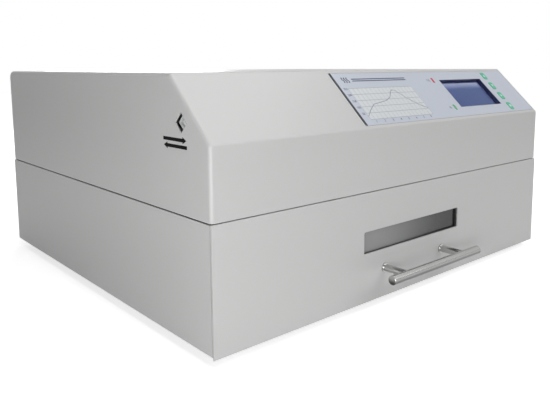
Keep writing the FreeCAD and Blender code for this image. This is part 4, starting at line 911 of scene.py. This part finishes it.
    def build_signs(self) -> None:
        """Prints the plain heat-wave signs, the heading rules and the lamps' signs."""
        strokes = []
        foot = self.height - self.heading_drop
        for index in range(self.wave_count):
            u = self.chart_left + self.wave_start + index * self.wave_pitch
            points = self.wave(u, foot, self.heading_height)
            strokes.append(add_ribbon("wave", points, self.heading_stroke, self.lift, self.ink))
        rule_left = self.chart_left + self.rule_start
        for level in self.rule_levels:
            centre = ((rule_left + self.chart_right) / 2, foot + level, self.lift + self.ink / 2)
            strokes.append(add_slab("rule", centre, (self.chart_right - rule_left, self.rule_stroke, self.ink)))
        self.print_piece(join("heading_sign", strokes), Finishes.NAVY_INK)
        strokes = []
        low, high = self.local("heating_lamp")
        for index in range(self.wave_count):
            u = low.x - self.lamp_sign_gap - index * self.lamp_sign_pitch
            points = self.wave(u, (low.y + high.y - self.lamp_sign_height) / 2, self.lamp_sign_height)
            strokes.append(add_ribbon("wave", points, self.lamp_sign_stroke, self.lift, self.ink))
        low, high = self.local("cooling_lamp")
        centre = (low.x - self.frost_gap, (low.y + high.y) / 2)
        for turn in range(3):
            angle = math.pi * turn / 3
            arm = Vector((math.cos(angle), math.sin(angle))) * self.frost_arm
            points = [(centre[0] - arm.x, centre[1] - arm.y), (centre[0] + arm.x, centre[1] + arm.y)]
            level = self.lift + turn * self.ink * 0.1
            strokes.append(add_ribbon("frost", points, self.lamp_sign_stroke, level, self.ink))
        self.print_piece(join("lamp_signs", strokes), Finishes.GREY_INK)

    def build_screen(self) -> None:
        """Models the lit screen inside the display's frame."""
        low, high = self.local("display_lens")
        left = low.x + self.lens_lap + self.screen_margin_left
        right = high.x - self.lens_lap - self.screen_margin_right
        foot = low.y + self.lens_lap + self.screen_margin_v
        head = high.y - self.lens_lap - self.screen_margin_v
        level = low.z - self.screen_drop - self.screen_thickness / 2
        screen = add_slab("display_screen", ((left + right) / 2, (foot + head) / 2, level),
                          (right - left, head - foot, self.screen_thickness), self.screen_edge)
        settle(screen, self.place)
        along = Vector(self.rise)
        base = along.dot(self.origin)
        # The screen's paler band along its upper edge is a painted reflection.
        finish = ScreenFinish("display_blue", (0.020, 0.044, 0.140), (0.22, 0.25, 0.36), self.rise,
                              base + head - self.band_foot, base + head + self.band_head)
        finish_piece(screen, finish, Body.CASING.value)

    def build_bezel(self) -> None:
        """Lines the display's opening with a thin navy sleeve."""
        low, high = self.local("display_lens")
        corner = Vector((low.x + self.lens_lap, low.y + self.lens_lap, high.z + self.lift))
        far = Vector((high.x - self.lens_lap, high.y - self.lens_lap, -self.lift))
        bezel = add_ring("display_bezel", corner, far, self.bezel_wall)
        settle(bezel, self.place)
        finish_piece(bezel, Finishes.FRAME_NAVY, Body.CASING.value)

    def build_key_signs(self) -> None:
        """Puts a plain sign on each key's cap."""
        for index, sign in enumerate(self.key_order, start=1):
            name = "key_{}".format(index)
            low, high = self.local(name)
            centre = ((low.x + high.x) / 2, (low.y + high.y) / 2)
            corners = [(centre[0] + u * self.sign_size, centre[1] + v * self.sign_size) for u, v in sign.value]
            piece = add_outline(name + "_sign", corners, high.z - self.sign_sink, self.sign_thickness)
            settle(piece, self.place)
            finish_piece(piece, Finishes.KEY_SIGN, Body.KEY.value.format(index))

    def build(self) -> None:
        """Dresses the face's nodes and models what is printed on it."""
        dresser = NodeDresser(self.nodes)
        dresser.dress(Finishes.FILM, ["panel_overlay"])
        dresser.dress(Finishes.ALUMINIUM, ["control_plate"])
        dresser.dress(Finishes.RUBBER, ["panel_gasket"])
        dresser.dress(Finishes.LENS, ["display_lens"])
        dresser.dress(Finishes.FRAME_NAVY, ["display_module"])
        dresser.dress(Finishes.KEY, ["key_1", "key_2", "key_3", "key_4"])
        dresser.dress(Finishes.RED, ["heating_lamp"])
        dresser.dress(Finishes.GREEN, ["cooling_lamp"])
        dresser.dress(Finishes.BOARD, ["controller_board"])
        self.build_chart()
        self.build_signs()
        self.build_screen()
        self.build_bezel()
        self.build_key_signs()


@dataclass
class Casing:
    """The two folded shells, the back plate, the feet and the data socket."""

    nodes: Dict[str, bpy.types.Object]
    sign_width: float = 40.0 * MM
    sign_height: float = 10.5 * MM
    sign_drop: float = 19.3 * MM
    sign_shift: float = 11.5 * MM
    stroke: float = 3.4 * MM
    ink: float = 0.08 * MM

    def build_data_sign(self) -> None:
        """Prints two opposed arrows under the data socket, on the left wall."""
        low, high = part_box("data_socket")
        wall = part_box("upper_cover")[0][0]
        centre_y = (low[1] + high[1]) / 2 + self.sign_shift
        centre_z = (low[2] + high[2]) / 2 - self.sign_drop
        place = Matrix.Translation((wall, centre_y, centre_z)) @ Matrix.Rotation(math.radians(-90), 4, "Z")
        place = place @ Matrix.Rotation(math.radians(90), 4, "X")
        half = self.sign_width / 2
        head = self.sign_height * 0.62
        pieces = []
        for side in (-1, 1):
            v = side * self.sign_height * 0.30
            tip = side * half
            neck = tip - side * head
            points = [(-tip, v), (neck, v)]
            pieces.append(add_ribbon("arrow", points, self.stroke, 0.0, self.ink))
            corners = [(tip, v), (neck, v + head / 2 * side), (neck, v - head / 2 * side)]
            pieces.append(add_outline("arrow", corners, 0.0, self.ink))
        sign = join("data_sign", pieces)
        settle(sign, place)
        finish_piece(sign, Finishes.BLACK_INK, Body.CASING.value)

    def build(self) -> None:
        """Dresses the casing's nodes and prints its one sign."""
        dresser = NodeDresser(self.nodes)
        dresser.dress(Finishes.PAINT, ["upper_cover", "base_pan", "rear_panel"])
        dresser.dress(Finishes.RUBBER, ["seam_gaskets", "rubber_feet"])
        dresser.dress(Finishes.ZINC, ["seam_screws", "rear_screws", "foot_screws"])
        dresser.dress(Finishes.SOCKET, ["data_socket"])
        dresser.dress(Finishes.BOARD, ["socket_board"])
        self.build_data_sign()


@dataclass
class Drawer:
    """The drawer: front, window, handle, tray and runners."""

    nodes: Dict[str, bpy.types.Object]

    def build(self) -> None:
        """Dresses the drawer's nodes."""
        dresser = NodeDresser(self.nodes)
        dresser.dress(Finishes.PAINT, ["drawer_front"])
        dresser.dress(Finishes.FIBRE, ["drawer_insulation"])
        dresser.dress(Finishes.BRIGHT, ["drawer_inner_plate", "work_tray", "drawer_frame"])
        dresser.dress(Finishes.SEAL, ["door_seal"])
        dresser.dress(Finishes.SLEEVE, ["window_sleeve"])
        dresser.dress(Finishes.WINDOW, ["window_glass"])
        dresser.dress(Finishes.HANDLE, ["handle_bar"])
        dresser.dress(Finishes.POST, ["handle_posts"])
        dresser.dress(Finishes.ZINC, ["handle_screws", "inner_rails", "outer_rails", "ball_cages"])


@dataclass
class Chamber:
    """The heated chamber, its heaters and its circulation fan."""

    nodes: Dict[str, bpy.types.Object]

    def build(self) -> None:
        """Dresses the chamber's nodes."""
        dresser = NodeDresser(self.nodes)
        dresser.dress(Finishes.BRIGHT, ["chamber_liner", "chamber_front_frame"])
        dresser.dress(Finishes.FIBRE, ["chamber_insulation"])
        dresser.dress(Finishes.MIRROR, ["reflector"])
        dresser.dress(Finishes.ZINC, ["heater_brackets", "temperature_probes", "motor_plate", "exhaust_duct"])
        dresser.dress(Finishes.QUARTZ, ["heater_tubes"])
        dresser.dress(Finishes.CERAMIC, ["heater_caps"])
        dresser.dress(Finishes.MOTOR, ["stirrer_motor"])
        dresser.dress(Finishes.FAN_STEEL, ["stirrer_wheel"])


@dataclass
class RearFittings:
    """What the back plate carries: fan, inlet, switch, fuse and power board."""

    nodes: Dict[str, bpy.types.Object]
    rocker_pivot: Sequence[float]
    rocker_swing: float
    face_dip: float = 2.2 * MM
    face_tip: float = 3.6 * MM
    face_length: float = 8.5 * MM
    mark_height: float = 4.2 * MM
    mark_stroke: float = 0.8 * MM
    mark_depth: float = 0.08 * MM
    mark_edge: float = 0.02 * MM

    def rocker_face(self, side: int) -> Matrix:
        """Plane on the upper or lower half of the rocker's face, its own z pointing out.

        Args:
            side: 1 for the upper half, -1 for the lower one.

        Returns:
            Where that plane's frame goes in the oven's frame.
        """
        lean = math.atan2(self.face_tip - self.face_dip, self.face_length)
        middle = Vector((0.0, (self.face_dip + self.face_tip) / 2, side * self.face_length / 2))
        pivot = Matrix.Translation(self.rocker_pivot) @ Matrix.Rotation(-self.rocker_swing, 4, "X")
        facing = Matrix.Rotation(math.radians(-90) - side * lean, 4, "X") @ Matrix.Rotation(math.pi, 4, "Z")
        return pivot @ Matrix.Translation(middle) @ facing

    def build_rocker_marks(self) -> None:
        """Puts a bar on the rocker's upper half and a ring on its lower half."""
        size = (self.mark_stroke, self.mark_height, self.mark_depth)
        bar = add_slab("rocker_bar", (0.0, 0.0, self.mark_depth / 4), size, self.mark_edge)
        settle(bar, self.rocker_face(1))
        finish_piece(bar, Finishes.MARK, Body.ROCKER.value)
        steps = 24
        radius = (self.mark_height - self.mark_stroke) / 2
        points = [(radius * math.cos(2 * math.pi * step / steps), radius * math.sin(2 * math.pi * step / steps))
                  for step in range(steps + 1)]
        ring = add_ribbon("rocker_ring", points, self.mark_stroke, -self.mark_depth / 4, self.mark_depth)
        settle(ring, self.rocker_face(-1))
        finish_piece(ring, Finishes.MARK, Body.ROCKER.value)

    def build(self) -> None:
        """Dresses the rear nodes."""
        dresser = NodeDresser(self.nodes)
        dresser.dress(Finishes.PLASTIC, ["fan_frame", "fan_rotor", "mains_inlet", "switch_housing", "fuse_holder"])
        dresser.dress(Finishes.ROCKER, ["switch_rocker"])
        dresser.dress(Finishes.WIRE, ["finger_guard"])
        dresser.dress(Finishes.BRASS, ["inlet_pins"])
        dresser.dress(Finishes.BOARD, ["power_board"])
        dresser.dress(Finishes.IRON, ["transformer"])
        dresser.dress(Finishes.ALUMINIUM, ["heat_sink"])
        self.build_rocker_marks()


@dataclass
class Studio:
    """Floor, light and the camera of the photograph."""

    camera_place: Tuple[float, float, float] = (-0.57865, -0.67967, 0.26976)
    azimuth: float = 41.36
    elevation: float = 7.35
    roll: float = -0.26
    lens: float = 39.70
    shift_x: float = -0.0262
    shift_y: float = -0.1118
    floor_size: float = 12.0
    floor_colour: Colour = (0.90, 0.90, 0.90)
    floor_glow: float = 0.68
    shadow_near: float = 0.42
    shadow_far: float = 0.75
    floor_mirrored: float = 0.42
    world_strength: float = 0.07
    world_mirrored: float = 0.65

    def build_camera(self) -> None:
        """Sets the camera at the photograph's viewing angle."""
        azimuth = math.radians(self.azimuth)
        elevation = math.radians(self.elevation)
        roll = math.radians(self.roll)
        ahead = Vector((math.sin(azimuth) * math.cos(elevation), math.cos(azimuth) * math.cos(elevation),
                        -math.sin(elevation)))
        right = Vector((math.cos(azimuth), -math.sin(azimuth), 0.0))
        up = right.cross(ahead)
        turned_right = right * math.cos(roll) + up * math.sin(roll)
        turned_up = up * math.cos(roll) - right * math.sin(roll)
        data = bpy.data.cameras.new("photo_camera")
        data.sensor_width = 36.0
        data.lens = self.lens
        data.shift_x = self.shift_x
        data.shift_y = self.shift_y
        data.clip_start = 0.01
        data.clip_end = 100.0
        camera = bpy.data.objects.new("photo_camera", data)
        rows = Matrix((turned_right, turned_up, -ahead)).transposed().to_4x4()
        camera.matrix_world = Matrix.Translation(self.camera_place) @ rows
        bpy.context.collection.objects.link(camera)
        bpy.context.scene.camera = camera

    def build_floor(self) -> None:
        """Lays a plain pale floor that keeps the oven's shadow, with painted shade from a glow that is weaker near the
        oven.
        """
        deselect_all()
        bpy.ops.mesh.primitive_plane_add(size=self.floor_size)
        floor = bpy.context.object
        floor.name = "floor"
        material = bpy.data.materials.new("floor_white")
        material.use_nodes = True
        writer = NodeWriter(material.node_tree)
        shader = material.node_tree.nodes["Principled BSDF"]
        shader.inputs["Base Color"].default_value = opaque(self.floor_colour)
        shader.inputs["Roughness"].default_value = 0.9
        shader.inputs["Specular IOR Level"].default_value = 0.0
        shader.inputs["Emission Color"].default_value = (1.0, 1.0, 1.0, 1.0)
        path = writer.add("ShaderNodeLightPath")
        mirrored = writer.math("MULTIPLY", path.outputs["Is Glossy Ray"], self.floor_mirrored)
        seen = writer.math("MAXIMUM", path.outputs["Is Camera Ray"], mirrored)
        place = writer.add("ShaderNodeTexCoord")
        reach = writer.add("ShaderNodeVectorMath", operation="LENGTH")
        writer.link(place.outputs["Object"], reach.inputs[0])
        # The glow rises from floor_glow near the oven to full far off, so the floor near the oven is painted darker:
        # painted shade.
        spread = writer.add("ShaderNodeMapRange")
        spread.inputs["From Min"].default_value = self.shadow_near
        spread.inputs["From Max"].default_value = self.shadow_far
        spread.inputs["To Min"].default_value = self.floor_glow
        spread.inputs["To Max"].default_value = 1.0
        writer.link(reach.outputs["Value"], spread.inputs["Value"])
        strength = writer.math("MULTIPLY", seen, spread.outputs["Result"])
        writer.link(strength, shader.inputs["Emission Strength"])
        floor.data.materials.append(material)

    def build_world(self) -> None:
        """Sets an even soft surround that the camera sees as white."""
        world = bpy.data.worlds.new("studio")
        world.use_nodes = True
        bpy.context.scene.world = world
        writer = NodeWriter(world.node_tree)
        shade = world.node_tree.nodes["Background"]
        shade.inputs["Color"].default_value = (1.0, 1.0, 1.0, 1.0)
        path = writer.add("ShaderNodeLightPath")
        mirrored = writer.math("MULTIPLY", path.outputs["Is Glossy Ray"], self.world_mirrored)
        seen = writer.math("MAXIMUM", path.outputs["Is Camera Ray"], mirrored)
        lift = writer.math("MULTIPLY", seen, 1.0 - self.world_strength)
        strength = writer.math("ADD", lift, self.world_strength)
        writer.link(strength, shade.inputs["Strength"])

    def add_lamp(self, name: str, place: Sequence[float], target: Sequence[float], size: float, power: float) -> None:
        """Hangs one soft lamp.

        Args:
            name: the lamp's name.
            place: where it hangs.
            target: the point that it faces.
            size: the length of its side.
            power: its power in watts.
        """
        data = bpy.data.lights.new(name, "AREA")
        data.size = size
        data.energy = power
        lamp = bpy.data.objects.new(name, data)
        ahead = Vector(target) - Vector(place)
        lamp.rotation_euler = ahead.to_track_quat("-Z", "Y").to_euler()
        lamp.location = place
        bpy.context.collection.objects.link(lamp)

    def build_lamps(self) -> None:
        """Hangs the lamps before the corner and the front, over the bend, behind and overhead."""
        self.add_lamp("corner_softbox", (-0.90, -0.84, 0.04), (-0.25, -0.2, 0.03), 0.45, 8.3)
        self.add_lamp("front_softbox", (0.65, -1.35, 1.15), (0.1, -0.2, 0.15), 1.0, 7.4)
        self.add_lamp("edge_softbox", (-0.34, -0.25, 1.5), (-0.29, -0.22, 0.22), 0.4, 4.2)
        self.add_lamp("rear_softbox", (0.75, 1.9, 0.8), (0.1, 0.2, 0.12), 0.8, 12.0)
        self.add_lamp("overhead_softbox", (0.6, -0.2, 1.8), (0.15, -0.1, 0.2), 1.2, 10.5)

    def build(self) -> None:
        """Sets up the whole studio."""
        bpy.context.scene.view_settings.view_transform = "Standard"
        self.build_camera()
        self.build_floor()
        self.build_world()
        self.build_lamps()


def find_joint(joints: Sequence[dict], name: str) -> dict:
    """One of the frame's joints.

    Args:
        joints: the frame's joints.
        name: the joint's name.

    Returns:
        The joint.
    """
    for joint in joints:
        if joint["name"] == name:
            return joint
    raise ValueError("the frame has no joint " + name)


def slope_angle(joints: Sequence[dict]) -> float:
    """Tilt of the control face, from the direction in which its first key is pressed.

    Args:
        joints: the frame's joints.

    Returns:
        The angle in radians.
    """
    axis = find_joint(joints, "key_1_press")["axis"]
    return math.atan2(axis[1], -axis[2])


def main() -> None:
    """Builds the oven's looks, sub-assembly by sub-assembly."""
    logging.basicConfig(level=logging.INFO, format="%(name)s: %(message)s")
    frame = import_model()
    nodes = frame["nodes"]
    joints = frame["joints"]
    rocker = find_joint(joints, "power_rocker")
    Casing(nodes).build()
    ControlFace(nodes, slope_angle(joints)).build()
    Drawer(nodes).build()
    Chamber(nodes).build()
    RearFittings(nodes, rocker["pos_m"], math.radians(rocker["range_deg"][1]) / 2).build()
    Studio().build()


if __name__ == "__main__":
    main()
